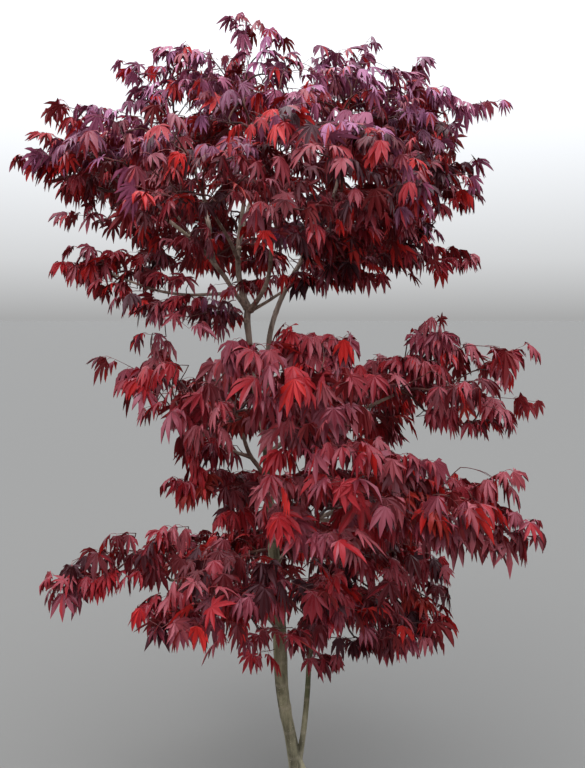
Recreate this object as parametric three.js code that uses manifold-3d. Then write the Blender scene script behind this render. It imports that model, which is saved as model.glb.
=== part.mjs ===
// A red-leaved Japanese maple tree, about two and a half metres tall.
//
// One slender trunk with a flared foot leans a little to the left and forks
// low in the upper crown. A thin second stem leaves the same foot on the right.
// Tapering boughs carry separate masses of foliage in three tiers, with open air
// between the tiers and round the trunk.
//
// Millimetres, +Z up. The origin is the middle of the flat cut under the trunk,
// at ground level. +X is to the right and -Y is towards the front.
import * as THREE from 'three';
import { mergeVertices } from 'three/addons/utils/BufferGeometryUtils.js';
import Module from 'manifold-3d';

const wasm = await Module();
wasm.setup();

// ---------------------------------------------------------------- dimensions
const GAP = 1.4;              // air between neighbouring solids
const BLOB_DETAIL = 2;        // facets of a mass of foliage
const BLOB_BUMPS = 9;         // swellings and hollows on each mass
const BLOB_UNEVEN = 0.26;     // their height, as a part of the mass's radius
const TIP_WIDTH = 0.42;       // how wide a shoot that stands out of a mass is (rad)
const TRUNK_SIDES = 10;
const BOUGH_SIDES = 5;
const TRUNK_STEP = 120;       // length of a facet along the trunk
const BOUGH_STEP = 170;       // and along a bough
const FLARE_HEIGHT = 70;      // the root flare fades out over this height
const FLARE_LOBES = 5;        // buttresses round the foot
const FLARE_DEPTH = 0.13;     // how far they stand out

// Limbs: [x, y, z, radius] along the middle line, from where a limb leaves the
// one it grows on ("from") to where it enters its foliage ("into", where the
// limb runs past other masses on the way).
const LIMBS = [
  { name: 'trunk', from: null, into: null, line: [[0, 0, 0, 33], [-22, 0, 87, 22.5], [-37, 0, 171, 19.5], [-52, 0, 244, 19.8], [-64, 0, 337, 21], [-69, 5, 448, 23], [-76, 10, 589, 21.5], [-88, 15, 756, 18.5], [-101, 12, 907, 16.8], [-110, 8, 1021, 15.6], [-112, 5, 1117, 13.5], [-120, 0, 1190, 12.2], [-139, -5, 1287, 11.2], [-158, -8, 1384, 10.2], [-167, -10, 1486, 9.8], [-173, -8, 1544, 10.6], [-169, -5, 1591, 10]] },
  { name: 'second_stem', from: 'trunk', into: null, line: [[-13, 0, 49, 13], [5, 4, 151, 9.6], [15, 10, 235, 9], [22, 15, 319, 8.8], [30, 20, 431, 8.4], [56, 20, 551, 7.4], [112, 10, 656, 6], [178, -20, 747, 4.5]] },
  { name: 'leader', from: 'trunk', into: 'crown_top', line: [[-169, -5, 1579, 10], [-191, 10, 1639, 9.2], [-204, 30, 1723, 8.6], [-201, 50, 1807, 7.8], [-184, 50, 1928, 6.6], [-170, 30, 2035, 5.5], [-162, 10, 2139, 4.2]] },
  { name: 'limb_left', from: 'trunk', into: 'crown_left_arm', line: [[-175, -6, 1582, 8.2], [-206, -30, 1624, 6.9], [-239, -43, 1675, 6.7], [-272, -45, 1718, 6.9], [-305, -45, 1758, 6.3], [-354, -45, 1804, 5.7], [-440, -45, 1872, 4.9], [-539, -40, 1940, 3.9]] },
  { name: 'limb_centre', from: 'trunk', into: null, line: [[-162, -10, 1575, 8.5], [-130, -50, 1618, 7.6], [-110, -80, 1654, 7], [-97, -110, 1701, 6.4], [-90, -150, 1767, 5.8], [-67, -220, 1846, 4.8]] },
  { name: 'right_stem', from: 'trunk', into: 'crown_top_right', line: [[-122, 0, 1206, 10], [-113, 30, 1300, 9.6], [-108, 50, 1407, 9.2], [-104, 55, 1482, 8.8], [-94, 55, 1532, 8.6], [-68, 52, 1606, 8.3], [-29, 46, 1684, 7.9], [4, 38, 1740, 7.5], [25, 28, 1790, 7], [74, 0, 1865, 6], [113, -30, 1978, 5.2], [127, -50, 2095, 4]] },
  { name: 'stem_pale', from: 'limb_left', into: null, line: [[-273, -45, 1719, 6.2], [-284, -30, 1778, 6.9], [-292, -5, 1839, 7], [-307, 20, 1893, 6.6], [-315, 40, 1958, 5.8], [-358, 60, 2056, 4.8], [-398, 80, 2155, 3.7]] },
  { name: 'bough_right', from: 'right_stem', into: null, line: [[25, 28, 1790, 6.2], [107, 30, 1845, 5.4], [212, 20, 1908, 4.6], [327, 10, 1966, 3.6]] },
  { name: 'bough_crossing', from: 'trunk', into: null, line: [[-163, -8, 1572, 6.2], [-120, 35, 1597, 5.2], [-62, 85, 1636, 4.6], [20, 130, 1690, 3.6]] },
  { name: 'bough_crown_low_left', from: 'limb_left', into: null, line: [[-208, -32, 1627, 5.8], [-279, -60, 1624, 5], [-346, -70, 1621, 4.6], [-439, -70, 1633, 4], [-526, -65, 1661, 3.5], [-589, -60, 1686, 3]] },
  { name: 'bough_crown_low_left_front', from: 'trunk', into: null, line: [[-172, -10, 1537, 5.8], [-215, -90, 1562, 5], [-263, -160, 1565, 4]] },
  { name: 'bough_left_front', from: 'leader', into: null, line: [[-200, 30, 1729, 6], [-226, -80, 1795, 5.2], [-263, -200, 1858, 4.4], [-280, -280, 1891, 3.4]] },
  { name: 'bough_back_left', from: 'limb_left', into: null, line: [[-317, -45, 1767, 5.8], [-382, 80, 1849, 5.2], [-465, 220, 1953, 4.4], [-530, 340, 2026, 3.4]] },
  { name: 'bough_back_centre', from: 'leader', into: null, line: [[-202, 35, 1768, 6.4], [-190, 140, 1869, 5.6], [-163, 280, 1996, 4.8], [-139, 400, 2093, 3.6]] },
  { name: 'bough_back_right', from: 'right_stem', into: null, line: [[4, 38, 1740, 5.6], [70, 140, 1815, 4.9], [154, 260, 1917, 4.3], [221, 360, 2008, 3.4]] },
  { name: 'bough_mid_left_front', from: 'trunk', into: null, line: [[-110, 6, 1015, 8.5], [-132, -50, 1072, 7.6], [-159, -100, 1122, 6.8], [-177, -190, 1201, 5.6], [-190, -290, 1282, 4.4]] },
  { name: 'bough_mid_left', from: 'bough_mid_left_front', into: null, line: [[-158, -100, 1119, 6], [-221, -130, 1146, 5.2], [-301, -150, 1198, 4.4], [-384, -160, 1267, 3.6]] },
  { name: 'bough_mid_right', from: 'trunk', into: null, line: [[-113, 4, 1107, 8], [-36, -50, 1171, 7], [72, -110, 1224, 6.2], [191, -160, 1279, 5.4], [292, -190, 1330, 4.2]] },
  { name: 'bough_mid_back', from: 'trunk', into: null, line: [[-118, 6, 1140, 7], [-98, 120, 1173, 5.8], [-58, 240, 1220, 4.6], [-38, 320, 1247, 3.6]] },
  { name: 'bough_low_right', from: 'trunk', into: null, line: [[-94, 12, 824, 8.5], [-17, -90, 894, 7.4], [78, -200, 963, 6.2], [130, -320, 1019, 4.8]] },
  { name: 'bough_low_right_arm', from: 'bough_low_right', into: null, line: [[31, -150, 932, 6], [149, -220, 950, 5.4], [284, -280, 977, 4.6], [363, -320, 999, 3.6]] },
  { name: 'bough_low_left', from: 'trunk', into: null, line: [[-78, 10, 609, 8], [-164, -70, 671, 6.8], [-268, -150, 725, 5.6], [-396, -220, 767, 4.2]] },
  { name: 'bough_low_left_near', from: 'trunk', into: null, line: [[-71, 6, 515, 7], [-106, -100, 604, 5.8], [-151, -200, 673, 4.6], [-176, -280, 715, 3.6]] },
  { name: 'bough_low_back', from: 'trunk', into: null, line: [[-83, 15, 688, 8], [-72, 140, 717, 6.6], [-30, 260, 739, 5.2], [-1, 340, 750, 4]] },
];

// Masses of foliage: middle, half sizes along x, y and z, the seed of their
// uneven shape, and the furthest shoots that stand out of them.
const MASSES = [
  { name: 'crown_top', at: [-155, 0, 2222], half: [150, 220, 125], seed: 218, tips: [[-191, 0, 2488], [-88, -20, 2430], [-248, 0, 2362], [-12, -20, 2355]] },
  { name: 'crown_left_dome', at: [-370, 70, 2202], half: [148, 220, 173], seed: 339, tips: [[-597, 60, 2350], [-354, 60, 2418], [-463, 100, 2419], [-552, 50, 2254]] },
  { name: 'crown_top_right', at: [94, -30, 2190], half: [170, 220, 124], seed: 247, tips: [[221, -40, 2391], [50, -20, 2373], [149, -20, 2367]] },
  { name: 'crown_right_shoulder', at: [327, 30, 2196], half: [133, 190, 117], seed: 354, tips: [[381, 40, 2368], [655, 0, 2194], [475, 0, 2253]] },
  { name: 'crown_right', at: [370, 20, 1992], half: [143, 200, 113], seed: 87, tips: [[574, 0, 2008], [570, 0, 1909]] },
  { name: 'crown_lower_right', at: [300, -60, 1806], half: [165, 210, 124], seed: 348, tips: [[552, -40, 1714], [395, -80, 1676], [155, -80, 1654]] },
  { name: 'crown_left_arm', at: [-621, -50, 2041], half: [166, 210, 132], seed: 1, tips: [[-756, -40, 2212], [-893, -50, 2011], [-639, -50, 1798], [-823, -50, 2089]] },
  { name: 'crown_mid_left', at: [-425, 235, 1822], half: [192, 232, 154], seed: 270, tips: [[-640, 100, 1835], [-506, 100, 1662]] },
  { name: 'crown_centre_front', at: [-38, -330, 1938], half: [208, 215, 189], seed: 10, tips: [[-115, -260, 1754]] },
  { name: 'crown_left_front', at: [-297, -300, 1938], half: [172, 200, 161], seed: 20, tips: [[-429, -280, 1839]] },
  { name: 'crown_right_front', at: [189, -280, 1930], half: [168, 200, 168], seed: 21, tips: [] },
  { name: 'crown_centre_low', at: [112, -100, 1743], half: [140, 170, 114], seed: 349, tips: [[97, -120, 1642]] },
  { name: 'crown_inner', at: [-135, 100, 1738], half: [140, 135, 114], seed: 62, tips: [[-60, 60, 1640]] },
  { name: 'crown_low_left_arm', at: [-620, -60, 1689], half: [121, 100, 59], seed: 257, tips: [[-794, -60, 1686], [-630, -50, 1594], [-528, -50, 1748]] },
  { name: 'crown_low_left', at: [-322, -190, 1577], half: [180, 150, 90], seed: 305, tips: [[-449, -200, 1462], [-595, -100, 1550]] },
  { name: 'crown_back_left', at: [-575, 360, 2079], half: [190, 240, 197], seed: 317, tips: [] },
  { name: 'crown_back_centre', at: [-125, 420, 2190], half: [219, 230, 204], seed: 26, tips: [] },
  { name: 'crown_back_right', at: [316, 380, 2118], half: [253, 240, 191], seed: 386, tips: [] },
  { name: 'crown_back_low_right', at: [184, 320, 1813], half: [185, 210, 168], seed: 130, tips: [] },
  { name: 'mid_left_front', at: [-206, -370, 1372], half: [250, 210, 159], seed: 252, tips: [[-420, -380, 1282], [-168, -380, 1500]] },
  { name: 'mid_left_arm', at: [-456, -120, 1350], half: [92, 172, 72], seed: 148, tips: [[-616, -160, 1412], [-540, -180, 1269], [-404, -150, 1478]] },
  { name: 'mid_right_front', at: [37, -330, 1320], half: [170, 210, 177], seed: 99, tips: [[-52, -340, 1528], [138, -320, 1500]] },
  { name: 'mid_right_arm', at: [422, -160, 1346], half: [241, 210, 127], seed: 131, tips: [[379, -200, 1553], [737, -200, 1272], [661, -200, 1456], [597, -220, 1179]] },
  { name: 'mid_back', at: [-175, 300, 1252], half: [262, 220, 128], seed: 284, tips: [] },
  { name: 'mid_back_right', at: [168, 300, 1234], half: [194, 230, 162], seed: 262, tips: [] },
  { name: 'low_left_upper', at: [-284, -180, 1023], half: [127, 170, 124], seed: 367, tips: [[-410, -240, 1051], [-349, -220, 1209], [-343, -240, 931]] },
  { name: 'low_right_front', at: [110, -400, 1066], half: [203, 210, 156], seed: 373, tips: [] },
  { name: 'low_right_arm', at: [428, -280, 1013], half: [171, 210, 116], seed: 370, tips: [[662, -360, 877], [617, -340, 1107]] },
  { name: 'low_left_arm', at: [-499, -300, 807], half: [156, 150, 87], seed: 78, tips: [[-760, -300, 775], [-623, -300, 675], [-384, -300, 933]] },
  { name: 'low_left_front', at: [-248, -350, 767], half: [252, 200, 133], seed: 183, tips: [[-160, -300, 530], [-459, -340, 643]] },
  { name: 'low_centre_front', at: [-18, -300, 746], half: [133, 170, 131], seed: 184, tips: [[48, -240, 503]] },
  { name: 'low_right', at: [252, -120, 714], half: [188, 200, 194], seed: 192, tips: [[464, -120, 740], [448, -120, 540], [200, -120, 443], [412, -120, 449]] },
  { name: 'low_back_left', at: [-302, 270, 652], half: [242, 220, 142], seed: 331, tips: [] },
  { name: 'low_back', at: [-8, 400, 784], half: [279, 220, 230], seed: 72, tips: [] },
  { name: 'low_back_right', at: [329, 320, 793], half: [227, 230, 216], seed: 14, tips: [] },
];

// ------------------------------------------------------------------ materials
const BARK_LOW = new THREE.MeshStandardMaterial({ color: 0x8a7f6d, roughness: 0.85, metalness: 0 });
const BARK_TWIG = new THREE.MeshStandardMaterial({ color: 0x6e5a55, roughness: 0.7, metalness: 0 });
const LEAVES_UPPER = new THREE.MeshStandardMaterial({ color: 0x57232f, roughness: 0.6, metalness: 0 });
const LEAVES_LOWER = new THREE.MeshStandardMaterial({ color: 0x6d1c26, roughness: 0.6, metalness: 0 });

// -------------------------------------------------------------------- helpers
// Seeded numbers from 0 to 1, the same on every run.
function numbers(seed) {
  let state = (seed * 2654435761) >>> 0;
  return () => {
    state = (state + 0x6d2b79f5) >>> 0;
    let t = state;
    t = Math.imul(t ^ (t >>> 15), t | 1);
    t ^= t + Math.imul(t ^ (t >>> 7), t | 61);
    return ((t ^ (t >>> 14)) >>> 0) / 4294967296;
  };
}

function toSolid(geometry) {
  const g = geometry.clone();
  g.deleteAttribute('normal');
  g.deleteAttribute('uv');
  const merged = mergeVertices(g, 1e-3);
  return new wasm.Manifold(new wasm.Mesh({
    numProp: 3,
    vertProperties: new Float32Array(merged.attributes.position.array),
    triVerts: new Uint32Array(merged.index.array),
  }));
}

function toGeometry(solid) {
  const mesh = solid.getMesh();
  const g = new THREE.BufferGeometry();
  g.setAttribute('position', new THREE.BufferAttribute(new Float32Array(mesh.vertProperties), 3));
  g.setIndex(new THREE.BufferAttribute(new Uint32Array(mesh.triVerts), 1));
  g.computeVertexNormals();
  return g;
}

function largestBody(solid) {
  const bodies = solid.decompose();
  let best = bodies[0];
  for (const body of bodies) if (body.volume() > best.volume()) best = body;
  return best;
}

// Everything behind a plane through "at", on the side that "normal" points to.
function beyond(at, normal) {
  const size = 4000;
  const g = new THREE.BoxGeometry(size, size, size);
  g.translate(0, 0, size / 2);
  g.applyQuaternion(new THREE.Quaternion().setFromUnitVectors(new THREE.Vector3(0, 0, 1), normal));
  g.translate(at.x, at.y, at.z);
  return toSolid(g);
}

// ----------------------------------------------------------------------- limbs
// A closed round tube along a smooth line, whose radius follows the named
// radii. The trunk keeps level rings, so that its foot is cut flat, and its
// root flare is lobed.
function limbGeometry(limb, grow) {
  const isTrunk = limb.from === null;
  const points = limb.line.map(([x, y, z]) => new THREE.Vector3(x, y, z));
  const radii = limb.line.map((p) => p[3]);
  const curve = new THREE.CatmullRomCurve3(points, false, 'centripetal');
  const sides = isTrunk ? TRUNK_SIDES : BOUGH_SIDES;
  const steps = Math.max(3, Math.round(curve.getLength() / (isTrunk ? TRUNK_STEP : BOUGH_STEP)));
  const g = new THREE.CylinderGeometry(1, 1, 1, sides, steps, false);
  const position = g.attributes.position;
  const rings = [];
  for (let i = 0; i <= steps; i += 1) {
    const t = i / steps;
    // The trunk's lowest rings lie closer together, where it flares.
    const s = isTrunk ? Math.pow(t, 1.25) : t;
    const at = curve.getPoint(s);
    const along = isTrunk ? new THREE.Vector3(0, 0, 1) : curve.getTangent(s);
    const u = new THREE.Vector3(0, 1, 0).cross(along).normalize();
    const v = along.clone().cross(u).normalize();
    const f = s * (radii.length - 1);
    const k = Math.min(radii.length - 2, Math.floor(f));
    const r = radii[k] + (radii[k + 1] - radii[k]) * (f - k) + grow;
    rings.push({ at, u, v, r });
  }
  for (let i = 0; i < position.count; i += 1) {
    const x = position.getX(i);
    const z = position.getZ(i);
    const ring = rings[Math.round((position.getY(i) + 0.5) * steps)];
    let r = ring.r;
    if (isTrunk) {
      const lobe = Math.cos(FLARE_LOBES * Math.atan2(z, x) + 0.7);
      r *= 1 + FLARE_DEPTH * lobe * Math.exp(-ring.at.z / FLARE_HEIGHT);
    }
    const p = ring.at.clone().addScaledVector(ring.u, x * r).addScaledVector(ring.v, -z * r);
    position.setXYZ(i, p.x, p.y, p.z);
  }
  return g;
}

// ---------------------------------------------------------------------- masses
// A faceted ellipsoid with seeded swellings and hollows, drawn out to each of
// its furthest shoots.
function massGeometry(mass, grow) {
  const random = numbers(mass.seed);
  const half = new THREE.Vector3(...mass.half);
  const bumps = [];
  for (let i = 0; i < BLOB_BUMPS; i += 1) {
    const z = 2 * random() - 1;
    const a = 2 * Math.PI * random();
    const w = Math.sqrt(1 - z * z);
    bumps.push({
      towards: new THREE.Vector3(w * Math.cos(a), w * Math.sin(a), z),
      height: BLOB_UNEVEN * (i % 2 ? -0.8 : 1) * (0.5 + 0.5 * random()),
      tight: 3 + 4 * random(),
    });
  }
  const g = new THREE.IcosahedronGeometry(1, BLOB_DETAIL);
  g.rotateZ(6.28 * random());
  g.rotateX(6.28 * random());
  g.deleteAttribute('normal');
  g.deleteAttribute('uv');
  const merged = mergeVertices(g, 1e-4);
  const position = merged.attributes.position;
  const directions = [];
  for (let i = 0; i < position.count; i += 1) {
    directions.push(new THREE.Vector3().fromBufferAttribute(position, i).normalize());
  }
  const reach = directions.map((d) => {
    let f = 1;
    for (const b of bumps) f += b.height * Math.exp(b.tight * (d.dot(b.towards) - 1));
    return f;
  });
  const target = directions.map((d, i) => d.clone().multiplyScalar(reach[i]).multiply(half));
  const taken = new Set();
  for (const tip of mass.tips) {
    const out = new THREE.Vector3(...tip).sub(new THREE.Vector3(...mass.at));
    const scaled = out.clone().divide(half);
    const far = scaled.length();
    scaled.normalize();
    let nearest = -1;
    directions.forEach((d, i) => {
      if (taken.has(i)) return;
      if (nearest < 0 || d.dot(scaled) > directions[nearest].dot(scaled)) nearest = i;
    });
    taken.add(nearest);
    directions.forEach((d, i) => {
      const angle = d.angleTo(scaled) / TIP_WIDTH;
      const f = 1 + (far - 1) * 0.55 * Math.exp(-angle * angle);
      if (!taken.has(i) && f > reach[i]) {
        reach[i] = f;
        target[i] = d.clone().multiplyScalar(f).multiply(half);
      }
    });
    target[nearest] = out;
  }
  target.forEach((p, i) => {
    const q = p.clone().addScaledVector(p.clone().normalize(), grow);
    position.setXYZ(i, q.x + mass.at[0], q.y + mass.at[1], q.z + mass.at[2]);
  });
  return merged;
}

// Two masses that meet share the room between them by a plane, placed by how
// far each reaches towards the other.
function sharePlane(a, b) {
  const from = new THREE.Vector3(...a.at);
  const normal = new THREE.Vector3(...b.at).sub(from);
  const distance = normal.length();
  normal.normalize();
  const span = (half) => 1 / Math.hypot(normal.x / half[0], normal.y / half[1], normal.z / half[2]);
  const ra = span(a.half);
  const rb = span(b.half);
  return { from, normal, at: distance * ra / (ra + rb) };
}

function massSolid(index, grow) {
  const mass = MASSES[index];
  let solid = toSolid(massGeometry(mass, grow));
  MASSES.forEach((other, j) => {
    if (j === index || !meets[index][j]) return;
    const { from, normal, at } = sharePlane(mass, other);
    const where = from.clone().addScaledVector(normal, at - GAP / 2 + grow);
    solid = solid.subtract(beyond(where, normal));
  });
  return solid;
}

// ------------------------------------------------------------------ the solids
const plain = MASSES.map((mass) => toSolid(massGeometry(mass, 0)));
const meets = MASSES.map((a, i) => MASSES.map((b, j) => i !== j && plain[i].intersect(plain[j]).volume() > 1));

const limbSolid = LIMBS.map((limb) => toSolid(limbGeometry(limb, 0)));
const limbGrown = LIMBS.map((limb) => toSolid(limbGeometry(limb, GAP)));

// Every limb is cut clear of the limbs before it in the table.
LIMBS.forEach((limb, i) => {
  for (let j = 0; j < i; j += 1) limbSolid[i] = limbSolid[i].subtract(limbGrown[j]);
  limbSolid[i] = largestBody(limbSolid[i]);
});

// A main limb runs past the masses on its way, which are cut round it, and
// ends in its own. Every other bough ends where it first enters a mass.
const solids = MASSES.map((mass, k) => {
  let solid = massSolid(k, 0);
  LIMBS.forEach((limb, i) => {
    const main = limb.from === null || limb.name === 'second_stem' || limb.into !== null;
    if (main && limb.into !== mass.name) solid = solid.subtract(limbGrown[i]);
  });
  return largestBody(solid);
});
LIMBS.forEach((limb, i) => {
  if (limb.from === null || limb.name === 'second_stem') return;
  MASSES.forEach((mass, k) => {
    if (limb.into === null || limb.into === mass.name) {
      limbSolid[i] = limbSolid[i].subtract(massSolid(k, GAP));
    }
  });
  // The body that holds the limb's foot is kept.
  const foot = new THREE.Vector3(...limb.line[0]);
  let best = null;
  let nearest = Infinity;
  for (const body of limbSolid[i].decompose()) {
    const box = body.boundingBox();
    const near = new THREE.Vector3(
      THREE.MathUtils.clamp(foot.x, box.min[0], box.max[0]),
      THREE.MathUtils.clamp(foot.y, box.min[1], box.max[1]),
      THREE.MathUtils.clamp(foot.z, box.min[2], box.max[2]),
    ).distanceTo(foot);
    if (near < nearest) { nearest = near; best = body; }
  }
  limbSolid[i] = best;
});

// ------------------------------------------------------------- the scene graph
const tree = new THREE.Group();
const stems = new THREE.Group();
const foliage = new THREE.Group();
tree.add(stems, foliage);
LIMBS.forEach((limb, i) => {
  const thick = limb.from === null || limb.name === 'second_stem';
  const mesh = new THREE.Mesh(toGeometry(limbSolid[i]), (thick ? BARK_LOW : BARK_TWIG).clone());
  mesh.name = limb.name;
  stems.add(mesh);
});
MASSES.forEach((mass, k) => {
  const upper = mass.name.startsWith('crown');
  const mesh = new THREE.Mesh(toGeometry(solids[k]), (upper ? LEAVES_UPPER : LEAVES_LOWER).clone());
  mesh.name = mass.name;
  foliage.add(mesh);
});

export default tree;
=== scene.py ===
# A red-leaved Japanese maple tree, about two and a half metres tall.
#
# The trunk, stems and boughs are tubes with the relief of young bark. From
# them twigs grow out into every mass of foliage by a seeded rule: each mass is
# filled with the feet of sprays, every foot is joined to the nearest growing
# wood, and each spray carries its leaves in opposite pairs. A leaf is a folded
# palm of seven lobes that hangs from its stalk, with an upper and a lower face.
#
# Metres, +Z up. The origin is the middle of the flat cut under the trunk.
import math

import bpy
import numpy as np
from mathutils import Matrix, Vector
from mathutils.bvhtree import BVHTree


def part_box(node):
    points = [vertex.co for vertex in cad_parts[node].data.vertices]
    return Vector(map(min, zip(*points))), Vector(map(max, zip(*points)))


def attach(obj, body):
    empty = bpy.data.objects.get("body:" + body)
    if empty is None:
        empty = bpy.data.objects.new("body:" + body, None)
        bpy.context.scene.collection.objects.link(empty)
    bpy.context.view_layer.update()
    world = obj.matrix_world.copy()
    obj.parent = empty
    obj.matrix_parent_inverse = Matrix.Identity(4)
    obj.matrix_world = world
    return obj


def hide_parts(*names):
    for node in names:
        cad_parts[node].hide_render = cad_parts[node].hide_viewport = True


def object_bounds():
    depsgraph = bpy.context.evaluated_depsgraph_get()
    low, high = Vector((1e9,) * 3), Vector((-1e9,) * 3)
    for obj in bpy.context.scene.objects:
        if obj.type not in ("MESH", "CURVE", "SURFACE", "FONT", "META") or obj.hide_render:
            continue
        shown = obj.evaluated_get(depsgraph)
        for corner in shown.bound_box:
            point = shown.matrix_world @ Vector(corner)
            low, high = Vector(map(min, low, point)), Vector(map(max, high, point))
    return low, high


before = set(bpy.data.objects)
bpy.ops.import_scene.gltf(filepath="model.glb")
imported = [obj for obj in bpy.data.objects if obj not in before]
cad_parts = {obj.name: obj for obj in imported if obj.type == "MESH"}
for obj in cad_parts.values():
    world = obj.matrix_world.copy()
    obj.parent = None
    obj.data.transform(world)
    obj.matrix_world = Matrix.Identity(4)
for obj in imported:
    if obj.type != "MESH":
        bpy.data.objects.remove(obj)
CAD_BOX = [list(c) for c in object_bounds()]

# ------------------------------------------------------------------ the camera
IMAGE = (585, 768)
FOCAL = 800.0  # in pixels of that image
EYE = (-0.0285, -2.5627, 1.55)
PITCH = 4.716  # degrees below level

cam_data = bpy.data.cameras.new("camera")
cam_data.sensor_width = 36.0
cam_data.lens = 36.0 * FOCAL / max(IMAGE)
camera = bpy.data.objects.new("camera", cam_data)
camera.location = EYE
camera.rotation_euler = (math.radians(90.0 - PITCH), 0.0, 0.0)
bpy.context.scene.collection.objects.link(camera)
bpy.context.scene.camera = camera

# ------------------------------------------------------------- named dimensions
MM = 0.001
TRUNK_SIDES, TRUNK_RING = 44, 0.0055
BOUGH_SIDES, BOUGH_RING = 14, 0.0085
FLARE_HEIGHT, FLARE_LOBES, FLARE_DEPTH = 0.070, 5, 0.13

CELL = 0.015  # of the grid that says where foliage may be
SPRAY_GAP = 0.077  # between the feet of neighbouring sprays
SPRAY_LAYER = 1.15  # the same, upwards, as a multiple
SHELF_HEIGHT, SHELF_SHARE, SHELF_LOOSE = 0.125, 0.58, 0.22  # foliage lies in loose shelves
SPRAY_LENGTH = (0.095, 0.150)
SIDE_LENGTH = (0.045, 0.080)
PATH_WEIGHT = 0.30  # how much a short way to the trunk counts
LEAF_WOOD = 0.0009  # radius of a twig that bears leaves
PIPE_POWER = 2.35  # a twig's radius to this power adds up along the wood
STALK = (0.022, 0.040)
STALK_RADIUS = 0.0006
LEAF_THICK = 0.0005

# Lobes of a leaf: azimuth round the stalk in degrees, length in parts of the
# middle lobe.
LOBES = ((-116, 0.36), (-72, 0.70), (-36, 0.92), (0, 1.0), (36, 0.92), (72, 0.70), (116, 0.36))
LOBE_WIDE = (0.100, 0.048)  # its half widths where it is widest and nearer its tip

# How leaves differ by part of the tree: how far the web reaches up the lobes,
# how wide the lobes are, how steeply they hang (degrees), how limp they are and
# how wide the palm opens. Leaves in the shade are broader and limper.
FORMS = {
    "top": {"web": 0.29, "wide": 0.96, "pitch": 42, "limp": 0.45, "open": 0.86},
    "crown": {"web": 0.31, "wide": 1.00, "pitch": 45, "limp": 0.49, "open": 0.86},
    "middle": {"web": 0.34, "wide": 1.04, "pitch": 50, "limp": 0.54, "open": 0.86},
    "skirt": {"web": 0.35, "wide": 1.06, "pitch": 50, "limp": 0.54, "open": 0.88},
}

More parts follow.
